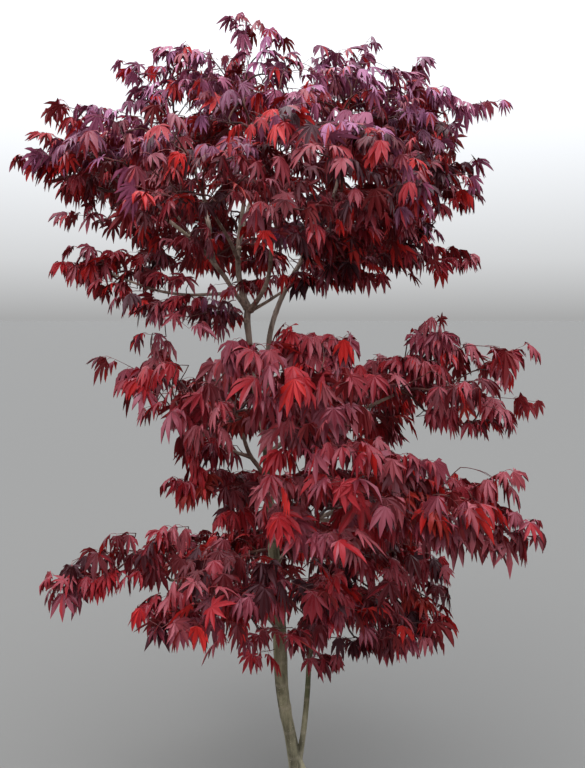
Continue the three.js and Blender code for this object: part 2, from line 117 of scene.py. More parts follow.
# Limbs, as in the construction, in millimetres: x, y, z and radius.
LIMBS = [
    { "name": "trunk", "from": None, "into": None, "line": [[0, 0, 0, 33], [-22, 0, 87, 22.5], [-37, 0, 171, 19.5], [-52, 0, 244, 19.8], [-64, 0, 337, 21], [-69, 5, 448, 23], [-76, 10, 589, 21.5], [-88, 15, 756, 18.5], [-101, 12, 907, 16.8], [-110, 8, 1021, 15.6], [-112, 5, 1117, 13.5], [-120, 0, 1190, 12.2], [-139, -5, 1287, 11.2], [-158, -8, 1384, 10.2], [-167, -10, 1486, 9.8], [-173, -8, 1544, 10.6], [-169, -5, 1591, 10]] },
    { "name": "second_stem", "from": "trunk", "into": None, "line": [[-13, 0, 49, 13], [5, 4, 151, 9.6], [15, 10, 235, 9], [22, 15, 319, 8.8], [30, 20, 431, 8.4], [56, 20, 551, 7.4], [112, 10, 656, 6], [178, -20, 747, 4.5]] },
    { "name": "leader", "from": "trunk", "into": "crown_top", "line": [[-169, -5, 1579, 10], [-191, 10, 1639, 9.2], [-204, 30, 1723, 8.6], [-201, 50, 1807, 7.8], [-184, 50, 1928, 6.6], [-170, 30, 2035, 5.5], [-162, 10, 2139, 4.2]] },
    { "name": "limb_left", "from": "trunk", "into": "crown_left_arm", "line": [[-175, -6, 1582, 8.2], [-206, -30, 1624, 6.9], [-239, -43, 1675, 6.7], [-272, -45, 1718, 6.9], [-305, -45, 1758, 6.3], [-354, -45, 1804, 5.7], [-440, -45, 1872, 4.9], [-539, -40, 1940, 3.9]] },
    { "name": "limb_centre", "from": "trunk", "into": None, "line": [[-162, -10, 1575, 8.5], [-130, -50, 1618, 7.6], [-110, -80, 1654, 7], [-97, -110, 1701, 6.4], [-90, -150, 1767, 5.8], [-67, -220, 1846, 4.8]] },
    { "name": "right_stem", "from": "trunk", "into": "crown_top_right", "line": [[-122, 0, 1206, 10], [-113, 30, 1300, 9.6], [-108, 50, 1407, 9.2], [-104, 55, 1482, 8.8], [-94, 55, 1532, 8.6], [-68, 52, 1606, 8.3], [-29, 46, 1684, 7.9], [4, 38, 1740, 7.5], [25, 28, 1790, 7], [74, 0, 1865, 6], [113, -30, 1978, 5.2], [127, -50, 2095, 4]] },
    { "name": "stem_pale", "from": "limb_left", "into": None, "line": [[-273, -45, 1719, 6.2], [-284, -30, 1778, 6.9], [-292, -5, 1839, 7], [-307, 20, 1893, 6.6], [-315, 40, 1958, 5.8], [-358, 60, 2056, 4.8], [-398, 80, 2155, 3.7]] },
    { "name": "bough_right", "from": "right_stem", "into": None, "line": [[25, 28, 1790, 6.2], [107, 30, 1845, 5.4], [212, 20, 1908, 4.6], [327, 10, 1966, 3.6]] },
    { "name": "bough_crossing", "from": "trunk", "into": None, "line": [[-163, -8, 1572, 6.2], [-120, 35, 1597, 5.2], [-62, 85, 1636, 4.6], [20, 130, 1690, 3.6]] },
    { "name": "bough_crown_low_left", "from": "limb_left", "into": None, "line": [[-208, -32, 1627, 5.8], [-279, -60, 1624, 5], [-346, -70, 1621, 4.6], [-439, -70, 1633, 4], [-526, -65, 1661, 3.5], [-589, -60, 1686, 3]] },
    { "name": "bough_crown_low_left_front", "from": "trunk", "into": None, "line": [[-172, -10, 1537, 5.8], [-215, -90, 1562, 5], [-263, -160, 1565, 4]] },
    { "name": "bough_left_front", "from": "leader", "into": None, "line": [[-200, 30, 1729, 6], [-226, -80, 1795, 5.2], [-263, -200, 1858, 4.4], [-280, -280, 1891, 3.4]] },
    { "name": "bough_back_left", "from": "limb_left", "into": None, "line": [[-317, -45, 1767, 5.8], [-382, 80, 1849, 5.2], [-465, 220, 1953, 4.4], [-530, 340, 2026, 3.4]] },
    { "name": "bough_back_centre", "from": "leader", "into": None, "line": [[-202, 35, 1768, 6.4], [-190, 140, 1869, 5.6], [-163, 280, 1996, 4.8], [-139, 400, 2093, 3.6]] },
    { "name": "bough_back_right", "from": "right_stem", "into": None, "line": [[4, 38, 1740, 5.6], [70, 140, 1815, 4.9], [154, 260, 1917, 4.3], [221, 360, 2008, 3.4]] },
    { "name": "bough_mid_left_front", "from": "trunk", "into": None, "line": [[-110, 6, 1015, 8.5], [-132, -50, 1072, 7.6], [-159, -100, 1122, 6.8], [-177, -190, 1201, 5.6], [-190, -290, 1282, 4.4]] },
    { "name": "bough_mid_left", "from": "bough_mid_left_front", "into": None, "line": [[-158, -100, 1119, 6], [-221, -130, 1146, 5.2], [-301, -150, 1198, 4.4], [-384, -160, 1267, 3.6]] },
    { "name": "bough_mid_right", "from": "trunk", "into": None, "line": [[-113, 4, 1107, 8], [-36, -50, 1171, 7], [72, -110, 1224, 6.2], [191, -160, 1279, 5.4], [292, -190, 1330, 4.2]] },
    { "name": "bough_mid_back", "from": "trunk", "into": None, "line": [[-118, 6, 1140, 7], [-98, 120, 1173, 5.8], [-58, 240, 1220, 4.6], [-38, 320, 1247, 3.6]] },
    { "name": "bough_low_right", "from": "trunk", "into": None, "line": [[-94, 12, 824, 8.5], [-17, -90, 894, 7.4], [78, -200, 963, 6.2], [130, -320, 1019, 4.8]] },
    { "name": "bough_low_right_arm", "from": "bough_low_right", "into": None, "line": [[31, -150, 932, 6], [149, -220, 950, 5.4], [284, -280, 977, 4.6], [363, -320, 999, 3.6]] },
    { "name": "bough_low_left", "from": "trunk", "into": None, "line": [[-78, 10, 609, 8], [-164, -70, 671, 6.8], [-268, -150, 725, 5.6], [-396, -220, 767, 4.2]] },
    { "name": "bough_low_left_near", "from": "trunk", "into": None, "line": [[-71, 6, 515, 7], [-106, -100, 604, 5.8], [-151, -200, 673, 4.6], [-176, -280, 715, 3.6]] },
    { "name": "bough_low_back", "from": "trunk", "into": None, "line": [[-83, 15, 688, 8], [-72, 140, 717, 6.6], [-30, 260, 739, 5.2], [-1, 340, 750, 4]] },
]

# Masses of foliage: middle, half sizes, furthest shoots (mm), how far apart
# their sprays stand, how long their leaves are (m), how much of them is sky, and
# the form of their leaves; on some, how soon their tints turn to painted shade
# (above one sooner, below one less of it).
MASSES = [
    {"name": "crown_top", "at": [-155, 0, 2222], "half": [150, 220, 125], "tips": [[-191, 0, 2488], [-88, -20, 2430], [-248, 0, 2362], [-12, -20, 2355]], "gap": 1, "leaf": 0.068, "sky": 0, "form": "top"},
    {"name": "crown_left_dome", "at": [-370, 70, 2202], "half": [148, 220, 173], "tips": [[-597, 60, 2350], [-354, 60, 2418], [-463, 100, 2419], [-552, 50, 2254]], "gap": 1, "leaf": 0.068, "sky": 0, "form": "top"},
    {"name": "crown_top_right", "at": [94, -30, 2190], "half": [170, 220, 124], "tips": [[221, -40, 2391], [50, -20, 2373], [149, -20, 2367]], "gap": 1, "leaf": 0.068, "sky": 0, "form": "top"},
    {"name": "crown_right_shoulder", "at": [327, 30, 2196], "half": [133, 190, 117], "tips": [[381, 40, 2368], [655, 0, 2194], [475, 0, 2253]], "gap": 1, "leaf": 0.068, "sky": 0, "form": "top"},
    {"name": "crown_right", "at": [370, 20, 1992], "half": [143, 200, 113], "tips": [[574, 0, 2008], [570, 0, 1909]], "gap": 1, "leaf": 0.075, "sky": 0, "form": "crown"},
    {"name": "crown_lower_right", "at": [300, -60, 1806], "half": [165, 210, 124], "tips": [[552, -40, 1714], [395, -80, 1676], [155, -80, 1654]], "gap": 1, "leaf": 0.075, "sky": 0, "form": "crown", "shade": 1.0},
    {"name": "crown_left_arm", "at": [-621, -50, 2041], "half": [166, 210, 132], "tips": [[-756, -40, 2212], [-893, -50, 2011], [-639, -50, 1798], [-823, -50, 2089]], "gap": 1, "leaf": 0.075, "sky": 0, "form": "crown"},
    {"name": "crown_mid_left", "at": [-425, 235, 1822], "half": [192, 232, 154], "tips": [[-640, 100, 1835], [-506, 100, 1662]], "gap": 1, "leaf": 0.075, "sky": 0, "form": "crown"},
    # The front masses of the crown take the dark tints of painted shade soonest.
    {"name": "crown_centre_front", "at": [-38, -330, 1938], "half": [208, 215, 189], "tips": [[-115, -260, 1754]], "gap": 1, "leaf": 0.070, "sky": 0, "form": "crown", "shade": 4.0},
    {"name": "crown_left_front", "at": [-297, -300, 1938], "half": [172, 200, 161], "tips": [[-429, -280, 1839]], "gap": 1, "leaf": 0.070, "sky": 0, "form": "crown", "shade": 4.0},
    {"name": "crown_right_front", "at": [189, -280, 1930], "half": [168, 200, 168], "tips": [], "gap": 1, "leaf": 0.070, "sky": 0, "form": "crown", "shade": 4.0},
    {"name": "crown_centre_low", "at": [112, -100, 1743], "half": [140, 170, 114], "tips": [[97, -120, 1642]], "gap": 1, "leaf": 0.075, "sky": 0, "form": "crown", "shade": 1.0},
    {"name": "crown_inner", "at": [-135, 100, 1738], "half": [140, 135, 114], "tips": [[-60, 60, 1640]], "gap": 1.0, "leaf": 0.075, "sky": 0, "form": "crown", "shade": 1.0},
    {"name": "crown_low_left_arm", "at": [-620, -60, 1689], "half": [121, 100, 59], "tips": [[-794, -60, 1686], [-630, -50, 1594], [-528, -50, 1748]], "gap": 1.15, "leaf": 0.075, "sky": 0, "form": "crown"},
    {"name": "crown_low_left", "at": [-322, -190, 1577], "half": [180, 150, 90], "tips": [[-449, -200, 1462], [-590, -100, 1585]], "gap": 1, "leaf": 0.075, "sky": 0, "form": "crown", "shade": 1.0},
    {"name": "crown_back_left", "at": [-575, 360, 2079], "half": [190, 240, 197], "tips": [], "gap": 1, "leaf": 0.075, "sky": 0, "form": "crown"},
    {"name": "crown_back_centre", "at": [-125, 420, 2190], "half": [219, 230, 204], "tips": [], "gap": 1, "leaf": 0.075, "sky": 0, "form": "crown"},
    {"name": "crown_back_right", "at": [316, 380, 2118], "half": [253, 240, 191], "tips": [], "gap": 1, "leaf": 0.075, "sky": 0, "form": "crown"},
    {"name": "crown_back_low_right", "at": [184, 320, 1813], "half": [185, 210, 168], "tips": [], "gap": 1, "leaf": 0.075, "sky": 0, "form": "crown"},
    {"name": "mid_left_front", "at": [-206, -370, 1372], "half": [250, 210, 159], "tips": [[-420, -380, 1282], [-168, -380, 1500]], "gap": 1, "leaf": 0.086, "sky": 0, "form": "middle", "shade": 0.7},
    {"name": "mid_left_arm", "at": [-456, -120, 1350], "half": [92, 172, 72], "tips": [[-616, -160, 1412], [-540, -180, 1269], [-404, -150, 1478]], "gap": 1.25, "leaf": 0.086, "sky": 0.22, "form": "middle"},
    {"name": "mid_right_front", "at": [37, -330, 1320], "half": [170, 210, 177], "tips": [[-52, -340, 1528], [138, -320, 1500]], "gap": 1, "leaf": 0.086, "sky": 0, "form": "middle", "shade": 0.7},
    {"name": "mid_right_arm", "at": [422, -160, 1346], "half": [241, 210, 127], "tips": [[379, -200, 1553], [737, -200, 1272], [696, -200, 1450], [597, -220, 1179]], "gap": 1.3, "leaf": 0.084, "sky": 0.12, "form": "middle", "shade": 0.7},
    {"name": "mid_back", "at": [-175, 300, 1252], "half": [262, 220, 128], "tips": [], "gap": 1, "leaf": 0.086, "sky": 0, "form": "middle"},
    {"name": "mid_back_right", "at": [168, 300, 1234], "half": [194, 230, 162], "tips": [], "gap": 1, "leaf": 0.086, "sky": 0, "form": "middle"},
    {"name": "low_left_upper", "at": [-284, -180, 1023], "half": [127, 170, 124], "tips": [[-410, -240, 1051], [-349, -220, 1209], [-343, -240, 931]], "gap": 1.35, "leaf": 0.086, "sky": 0.15, "form": "middle"},
    # These two take less of the dark tints of painted shade, the two below more.
    {"name": "low_right_front", "at": [110, -400, 1066], "half": [203, 210, 156], "tips": [], "gap": 1, "leaf": 0.092, "sky": 0, "form": "skirt", "shade": 0.35},
    {"name": "low_right_arm", "at": [428, -280, 1013], "half": [171, 210, 116], "tips": [[662, -360, 877], [617, -340, 1107]], "gap": 1.05, "leaf": 0.087, "sky": 0, "form": "skirt", "shade": 0.4},
    {"name": "low_left_arm", "at": [-499, -300, 807], "half": [156, 150, 87], "tips": [[-760, -300, 775], [-623, -300, 675], [-384, -300, 933]], "gap": 1.2, "leaf": 0.084, "sky": 0.08, "form": "skirt", "shade": 1.5},
    {"name": "low_left_front", "at": [-248, -350, 767], "half": [252, 200, 133], "tips": [[-160, -300, 530], [-459, -340, 643]], "gap": 1, "leaf": 0.080, "sky": 0, "form": "skirt", "shade": 2.4},
    {"name": "low_centre_front", "at": [-18, -300, 746], "half": [133, 170, 131], "tips": [[48, -240, 503]], "gap": 1, "leaf": 0.084, "sky": 0, "form": "skirt"},
    {"name": "low_right", "at": [252, -120, 714], "half": [188, 200, 194], "tips": [[464, -120, 740], [448, -120, 540], [200, -120, 443], [412, -120, 449]], "gap": 1, "leaf": 0.080, "sky": 0, "form": "skirt"},
    {"name": "low_back_left", "at": [-302, 270, 652], "half": [242, 220, 142], "tips": [], "gap": 1, "leaf": 0.084, "sky": 0, "form": "skirt"},
    {"name": "low_back", "at": [-8, 400, 784], "half": [279, 220, 230], "tips": [], "gap": 1, "leaf": 0.084, "sky": 0, "form": "skirt"},
    {"name": "low_back_right", "at": [329, 320, 793], "half": [227, 230, 216], "tips": [], "gap": 1, "leaf": 0.084, "sky": 0, "form": "skirt"},
]

# Single small tufts that stand by themselves at the edges of the masses: where
# their last leaves hang (mm), and how many pairs of leaves come before those.
TUFTS = [
    {"at": [-493, -300, 818], "pairs": 3}, {"at": [-331, -190, 1578], "pairs": 2},
    {"at": [491, 0, 1912], "pairs": 3}, {"at": [-676, -100, 1760], "pairs": 1},
    {"at": [-532, -300, 928], "pairs": 1}, {"at": [-370, -300, 945], "pairs": 1},
    {"at": [275, -330, 1165], "pairs": 2}, {"at": [352, -330, 1145], "pairs": 2},
    {"at": [551, -200, 1242], "pairs": 2}, {"at": [589, -200, 1250], "pairs": 2},
    {"at": [416, -200, 1262], "pairs": 2}, {"at": [-415, -330, 1300], "pairs": 3},
    {"at": [-108, -150, 572], "pairs": 2}, {"at": [-236, -330, 1950], "pairs": 3},
    {"at": [-120, -280, 1812], "pairs": 3}, {"at": [-662, -60, 2190], "pairs": 2},
    {"at": [-617, -60, 2185], "pairs": 2}, {"at": [448, 0, 2232], "pairs": 2},
    {"at": [645, -350, 945], "pairs": 2}, {"at": [-454, -190, 1500], "pairs": 1},
    {"at": [630, -200, 1400], "pairs": 1},
    {"at": [-140, -60, 470], "pairs": 1},
    {"at": [62, -20, 440], "pairs": 1}, {"at": [100, -40, 455], "pairs": 1},
    {"at": [390, -190, 1498], "pairs": 2}, {"at": [408, -190, 1500], "pairs": 3},
    {"at": [474, -190, 1470], "pairs": 2}, {"at": [-240, -90, 1054], "pairs": 3},
    {"at": [-294, -110, 1077], "pairs": 2}, {"at": [-190, -60, 1062], "pairs": 2},
    {"at": [-346, -60, 1800], "pairs": 3}, {"at": [-302, -60, 1815], "pairs": 3},
    {"at": [-383, -60, 1785], "pairs": 2}, {"at": [-590, -60, 1650], "pairs": 2},
    {"at": [440, -300, 935], "pairs": 3}, {"at": [539, -310, 925], "pairs": 3},
    {"at": [600, -320, 915], "pairs": 3}, {"at": [-6, -100, 1680], "pairs": 3},
    {"at": [49, -110, 1668], "pairs": 3}, {"at": [-231, -120, 1575], "pairs": 3},
    {"at": [-265, -150, 1562], "pairs": 3}, {"at": [229, 0, 2240], "pairs": 3},
    {"at": [-286, -200, 1530], "pairs": 2},
    {"at": [-165, 20, 1662], "pairs": 2}, {"at": [-124, 40, 1672], "pairs": 3},
    {"at": [168, -120, 1688], "pairs": 3}, {"at": [218, -120, 1682], "pairs": 3},
    {"at": [175, -150, 548], "pairs": 3}, {"at": [259, -150, 552], "pairs": 3},
    {"at": [321, -150, 556], "pairs": 3}, {"at": [378, -170, 574], "pairs": 3},
    {"at": [-6, -200, 590], "pairs": 2}, {"at": [-268, -150, 1160], "pairs": 3},
    {"at": [-300, -190, 1178], "pairs": 2}, {"at": [386, -200, 1345], "pairs": 3},
    {"at": [424, -200, 1322], "pairs": 3}, {"at": [462, -200, 1282], "pairs": 3},
    {"at": [-576, -300, 872], "pairs": 3}, {"at": [-705, -300, 762], "pairs": 3},
    {"at": [-9, -440, 1900], "pairs": 3}, {"at": [24, -430, 1862], "pairs": 3},
    {"at": [-77, -320, 1830], "pairs": 3}, {"at": [128, -170, 1706], "pairs": 2},
    {"at": [-196, 0, 2468], "pairs": 3}, {"at": [262, -200, 1430], "pairs": 2},
    {"at": [-517, -60, 1690], "pairs": 3}, {"at": [-440, -60, 1678], "pairs": 3},
    {"at": [-173, 150, 1796], "pairs": 3}, {"at": [-130, 150, 1752], "pairs": 3},
    {"at": [-190, 160, 1744], "pairs": 3}, {"at": [-95, 140, 1766], "pairs": 2},
    {"at": [-700, -80, 1864], "pairs": 3}, {"at": [282, 0, 2262], "pairs": 3},
    {"at": [20, -340, 1500], "pairs": 2}, {"at": [88, -330, 1494], "pairs": 2},
    {"at": [182, 0, 2222], "pairs": 3}, {"at": [492, -60, 1726], "pairs": 3},
    {"at": [306, -200, 1430], "pairs": 3}, {"at": [350, -200, 1430], "pairs": 3},
    {"at": [392, -210, 1402], "pairs": 3}, {"at": [-212, -220, 1044], "pairs": 3},
    {"at": [20, -350, 1215], "pairs": 3}, {"at": [104, -350, 1212], "pairs": 3},
    {"at": [178, -350, 1206], "pairs": 3}, {"at": [-450, -340, 732], "pairs": 3},
    {"at": [-413, -340, 682], "pairs": 3}, {"at": [424, -120, 620], "pairs": 3},
    {"at": [-222, -230, 975], "pairs": 3}, {"at": [-300, -190, 1606], "pairs": 3},
    {"at": [-612, -60, 1662], "pairs": 2}, {"at": [-414, 60, 2402], "pairs": 3},
    {"at": [-385, 40, 2378], "pairs": 3}, {"at": [-395, 0, 2262], "pairs": 3},
    {"at": [-500, 60, 2345], "pairs": 2}, {"at": [-520, 50, 2235], "pairs": 3},
    {"at": [-30, 0, 2332], "pairs": 2},
]

# Pockets of open air between masses: middle and half sizes (mm).
OPEN = [
    {"at": [-345, -340, 1466], "half": [88, 260, 42]},
    {"at": [-290, -370, 1448], "half": [60, 330, 62]},
    {"at": [-136, -330, 1534], "half": [46, 300, 64]},
    {"at": [-395, -330, 1240], "half": [58, 260, 52]},
    {"at": [-292, -340, 958], "half": [72, 230, 42]},
    {"at": [-585, 0, 1786], "half": [86, 340, 38]},
    {"at": [505, 0, 1802], "half": [112, 460, 50]},
    {"at": [700, -160, 1352], "half": [56, 220, 46]},
    {"at": [612, -180, 1300], "half": [50, 220, 34]},
    {"at": [-545, -170, 1390], "half": [34, 260, 30]},
    {"at": [370, -60, 856], "half": [86, 260, 36]},
    {"at": [-369, -300, 783], "half": [56, 240, 48]},
    {"at": [86, -140, 545], "half": [50, 280, 52]},
    {"at": [-304, -100, 1636], "half": [64, 320, 27]},
    {"at": [-182, -250, 1152], "half": [84, 200, 54]},
    {"at": [-214, 280, 1060], "half": [98, 300, 58]},
    {"at": [540, -320, 1082], "half": [38, 240, 30]},
    {"at": [-470, 270, 600], "half": [60, 270, 48]},
    {"at": [340, -180, 1250], "half": [58, 260, 46]},
    {"at": [-62, -300, 530], "half": [42, 300, 62]},
]


# ------------------------------------------------------------------- numbers
def hash3(i, j, k, seed):
    """A seeded number from 0 to 1 for each lattice point."""
    n = (i * 374761393 + j * 668265263 + k * 2147483647 + seed * 1274126177) & 0xFFFFFFFF
    n = ((n ^ (n >> 13)) * 1274126177) & 0xFFFFFFFF
    n = ((n ^ (n >> 16)) * 2246822519) & 0xFFFFFFFF
    return ((n ^ (n >> 15)) & 0xFFFFFF) / float(0xFFFFFF)


def value_noise(p, seed=0):
    """Smooth noise from -1 to 1 at an array of points."""
    p = np.asarray(p, float)
    base = np.floor(p).astype(np.int64)
    f = p - base
    f = f * f * (3 - 2 * f)
    out = 0.0
    for dx in (0, 1):
        for dy in (0, 1):
            for dz in (0, 1):
                w = (
                    (f[..., 0] if dx else 1 - f[..., 0])
                    * (f[..., 1] if dy else 1 - f[..., 1])
                    * (f[..., 2] if dz else 1 - f[..., 2])
                )
                out = out + w * hash3(base[..., 0] + dx, base[..., 1] + dy, base[..., 2] + dz, seed)
    return 2 * out - 1


def unit(v):
    v = np.asarray(v, float)
    return v / np.maximum(np.linalg.norm(v, axis=-1, keepdims=True), 1e-9)


UP = np.array([0.0, 0.0, 1.0])


# --------------------------------------------------------------------- curves
def catmull(points, count):
    """A centripetal Catmull-Rom curve through the points, sampled evenly in
    its parameter, as the construction's limbs are."""
    P = np.asarray(points, float)
    n = len(P)
    out = np.empty((count, 3))
    for q in range(count):
        s = q / (count - 1) * (n - 1)
        k = min(n - 2, int(s))
        u = s - k
        p1, p2 = P[k], P[k + 1]
        p0 = P[k - 1] if k > 0 else 2 * P[0] - P[1]
        p3 = P[k + 2] if k < n - 2 else 2 * P[-1] - P[-2]
        d0 = max(1e-4, float(np.dot(p1 - p0, p1 - p0)) ** 0.25)
        d1 = max(1e-4, float(np.dot(p2 - p1, p2 - p1)) ** 0.25)
        d2 = max(1e-4, float(np.dot(p3 - p2, p3 - p2)) ** 0.25)
        m1 = ((p1 - p0) / d0 - (p2 - p0) / (d0 + d1) + (p2 - p1) / d1) * d1
        m2 = ((p2 - p1) / d1 - (p3 - p1) / (d1 + d2) + (p3 - p2) / d2) * d1
        out[q] = (
            (2 * u**3 - 3 * u**2 + 1) * p1
            + (u**3 - 2 * u**2 + u) * m1
            + (-2 * u**3 + 3 * u**2) * p2
            + (u**3 - u**2) * m2
        )
    return out


def even(points, values, step):
    """The polyline and its values again, at even steps along its length."""
    P = np.asarray(points, float)
    d = np.concatenate([[0], np.cumsum(np.linalg.norm(np.diff(P, axis=0), axis=1))])
    n = max(3, int(round(d[-1] / step)) + 1)
    t = np.linspace(0, d[-1], n)
    Q = np.stack([np.interp(t, d, P[:, c]) for c in range(3)], 1)
    return Q, np.interp(t, d, values), t


def sweep_frames(Q):
    """Two directions square to the line at each of its points, untwisted."""
    T = unit(np.gradient(Q, axis=0))
    U = np.empty_like(T)
    ref = np.array([0.0, 1.0, 0.0]) if abs(T[0][1]) < 0.9 else np.array([1.0, 0.0, 0.0])
    u = unit(np.cross(ref, T[0]))
    for i in range(len(T)):
        u = unit(u - np.dot(u, T[i]) * T[i])
        U[i] = u
    return T, U, np.cross(T, U)


class Heap:
    """Vertices and triangles that gather into one mesh."""

    def __init__(self):
        self.v, self.f, self.a, self.n = [], [], [], 0

    def add(self, v, f, a=None):
        v = np.asarray(v, float).reshape(-1, 3)
        self.v.append(v)
        self.f.append(np.asarray(f, np.int64).reshape(-1, 3) + self.n)
        self.a.append(np.zeros(len(v)) if a is None else np.asarray(a, float).ravel())
        self.n += len(v)

    def triangles(self):
        return sum(len(f) for f in self.f)

    def mesh(self, name, material, smooth=True, attribute=None):
        v = np.concatenate(self.v)
        f = np.concatenate(self.f)
        me = bpy.data.meshes.new(name)
        me.vertices.add(len(v))
        me.vertices.foreach_set("co", v.astype(np.float32).ravel())
        me.loops.add(f.size)
        me.loops.foreach_set("vertex_index", f.astype(np.int32).ravel())
        me.polygons.add(len(f))
        me.polygons.foreach_set("loop_start", np.arange(0, f.size, 3, dtype=np.int32))
        me.polygons.foreach_set("use_smooth", np.full(len(f), smooth))
        me.update(calc_edges=True)
        if attribute:
            layer = me.attributes.new(attribute, "FLOAT", "POINT")
            layer.data.foreach_set("value", np.concatenate(self.a).astype(np.float32))
        me.materials.append(material)
        ob = bpy.data.objects.new(name, me)
        bpy.context.scene.collection.objects.link(ob)
        return ob


def tube_faces(rings, sides):
    """Triangles of a tube whose ends are closed by one point each, which are
    the two last vertices."""
    r = np.arange(rings - 1)[:, None] * sides
    s = np.arange(sides)[None, :]
    s2 = (s + 1) % sides
    a, b, c, d = r + s, r + s2, r + sides + s2, r + sides + s
    wall = np.concatenate([np.stack([a, b, c], -1).reshape(-1, 3), np.stack([a, c, d], -1).reshape(-1, 3)])
    foot, tip = rings * sides, rings * sides + 1
    s, s2 = s.ravel(), s2.ravel()
    top = (rings - 1) * sides
    caps = np.concatenate([np.stack([s2, s, np.full(sides, foot)], -1), np.stack([top + s, top + s2, np.full(sides, tip)], -1)])
    return np.concatenate([wall, caps])


def thin_tube(heap, Q, R, sides):
    """A plain tapering tube along a line of points."""
    T, U, V = sweep_frames(Q)
    a = 2 * math.pi * np.arange(sides) / sides
    rim = U[:, None, :] * np.cos(a)[None, :, None] + V[:, None, :] * np.sin(a)[None, :, None]
    v = Q[:, None, :] + rim * np.asarray(R)[:, None, None]
    v = np.concatenate([v.reshape(-1, 3), Q[:1] - T[:1] * 0.0005, Q[-1:] + T[-1:] * R[-1]])
    heap.add(v, tube_faces(len(Q), sides))


# ------------------------------------------------------------------- the limbs
def limb_line(limb, step):
    P = np.array([p[:3] for p in limb["line"]]) * MM
    r = np.array([p[3] for p in limb["line"]]) * MM
    n = 24 * (len(P) - 1) + 1
    Q = catmull(P, n)
    R = np.interp(np.linspace(0, len(P) - 1, n), np.arange(len(P)), r)
    return even(Q, R, step)


def limb_mesh(heap, limb, seed):
    """A limb with the relief of its bark. Its attribute runs along it, from
    scar to scar, for the pale rings."""
    trunk = limb["from"] is None
    Q, R, t = limb_line(limb, TRUNK_RING if trunk else BOUGH_RING)
    sides = TRUNK_SIDES if trunk else (24 if R.max() > 0.008 else BOUGH_SIDES)
    T, U, V = sweep_frames(Q)
    if trunk:  # level rings at the foot, turning square to the stem above it
        for i in range(len(Q)):
            w = min(1.0, Q[i][2] / 0.12)
            along = unit(UP * (1 - w) + T[i] * w)
            U[i] = unit(np.cross([0.0, 1.0, 0.0], along))
            V[i] = np.cross(along, U[i])
    rng = np.random.default_rng(9000 + seed)
    # Scars of former buds: a slight swelling, every few centimetres.
    scars, at = [], 0.03 + 0.05 * rng.random()
    while at < t[-1]:
        scars.append(at)
        at += (0.075 if trunk else 0.05) * (0.6 + 0.9 * rng.random())
    ring = np.zeros(len(Q))
    for s in scars:
        ring = np.maximum(ring, np.exp(-(((t - s) / 0.0042) ** 2)) * (0.55 + 0.45 * rng.random()))
    a = 2 * math.pi * np.arange(sides) / sides
    ca, sa = np.cos(a)[None, :], np.sin(a)[None, :]
    r = np.repeat(R[:, None], sides, 1)
    tt = np.repeat(t[:, None], sides, 1)
    ring2 = np.repeat(ring[:, None], sides, 1)
    coarse = np.stack([ca * 1.3 + 0 * tt, sa * 1.3 + 0 * tt, tt / 0.055 + seed * 7.3], -1)
    ridges = np.stack([ca * 4.2 + 0 * tt, sa * 4.2 + 0 * tt, tt / 0.045 + seed * 3.1], -1)
    fine = np.stack([ca * 9.0 + 0 * tt, sa * 9.0 + 0 * tt, tt / 0.012 + seed * 1.7], -1)
    knobs = np.stack([ca * 1.1 + 0 * tt, sa * 1.1 + 0 * tt, tt / 0.11 + seed * 5.9], -1)
    amount = 1.0 if trunk else 1.25
    f = 1 + amount * (
        0.045 * value_noise(coarse, 11)
        + 0.026 * value_noise(ridges, 12)
        + 0.012 * value_noise(fine, 13)
        + 0.05 * np.maximum(0, value_noise(knobs, 14) - 0.35)
    )
    f += ring2 * (0.035 if trunk else 0.10)
    if not trunk:  # a collar where it leaves the limb that carries it
        f += 0.45 * np.exp(-tt / 0.016)
    if trunk:
        z = Q[:, 2][:, None]
        f *= 1 + FLARE_DEPTH * np.cos(FLARE_LOBES * a[None, :] + 0.7) * np.exp(-z / FLARE_HEIGHT)
        # The swollen union a hand above the ground, where the bark changes.
        f += 0.07 * np.exp(-(((z - 0.245 - 0.012 * np.cos(a)[None, :]) / 0.018) ** 2))
        f -= 0.035 * np.exp(-(((z - 0.268 - 0.012 * np.cos(a)[None, :]) / 0.007) ** 2))
    r = r * f
    v = Q[:, None, :] + (U[:, None, :] * ca[..., None] + V[:, None, :] * sa[..., None]) * r[..., None]
    if trunk:
        v[0, :, 2] = 0.0
        ends = np.stack([Q[0], Q[-1] + T[-1] * 0.002])
        ends[0, 2] = 0.0
    else:
        ends = np.stack([Q[0] - T[0] * 0.001, Q[-1] + T[-1] * R[-1] * 0.7])
    heap.add(np.concatenate([v.reshape(-1, 3), ends]), tube_faces(len(Q), sides), np.concatenate([ring2.ravel(), [0, 0]]))


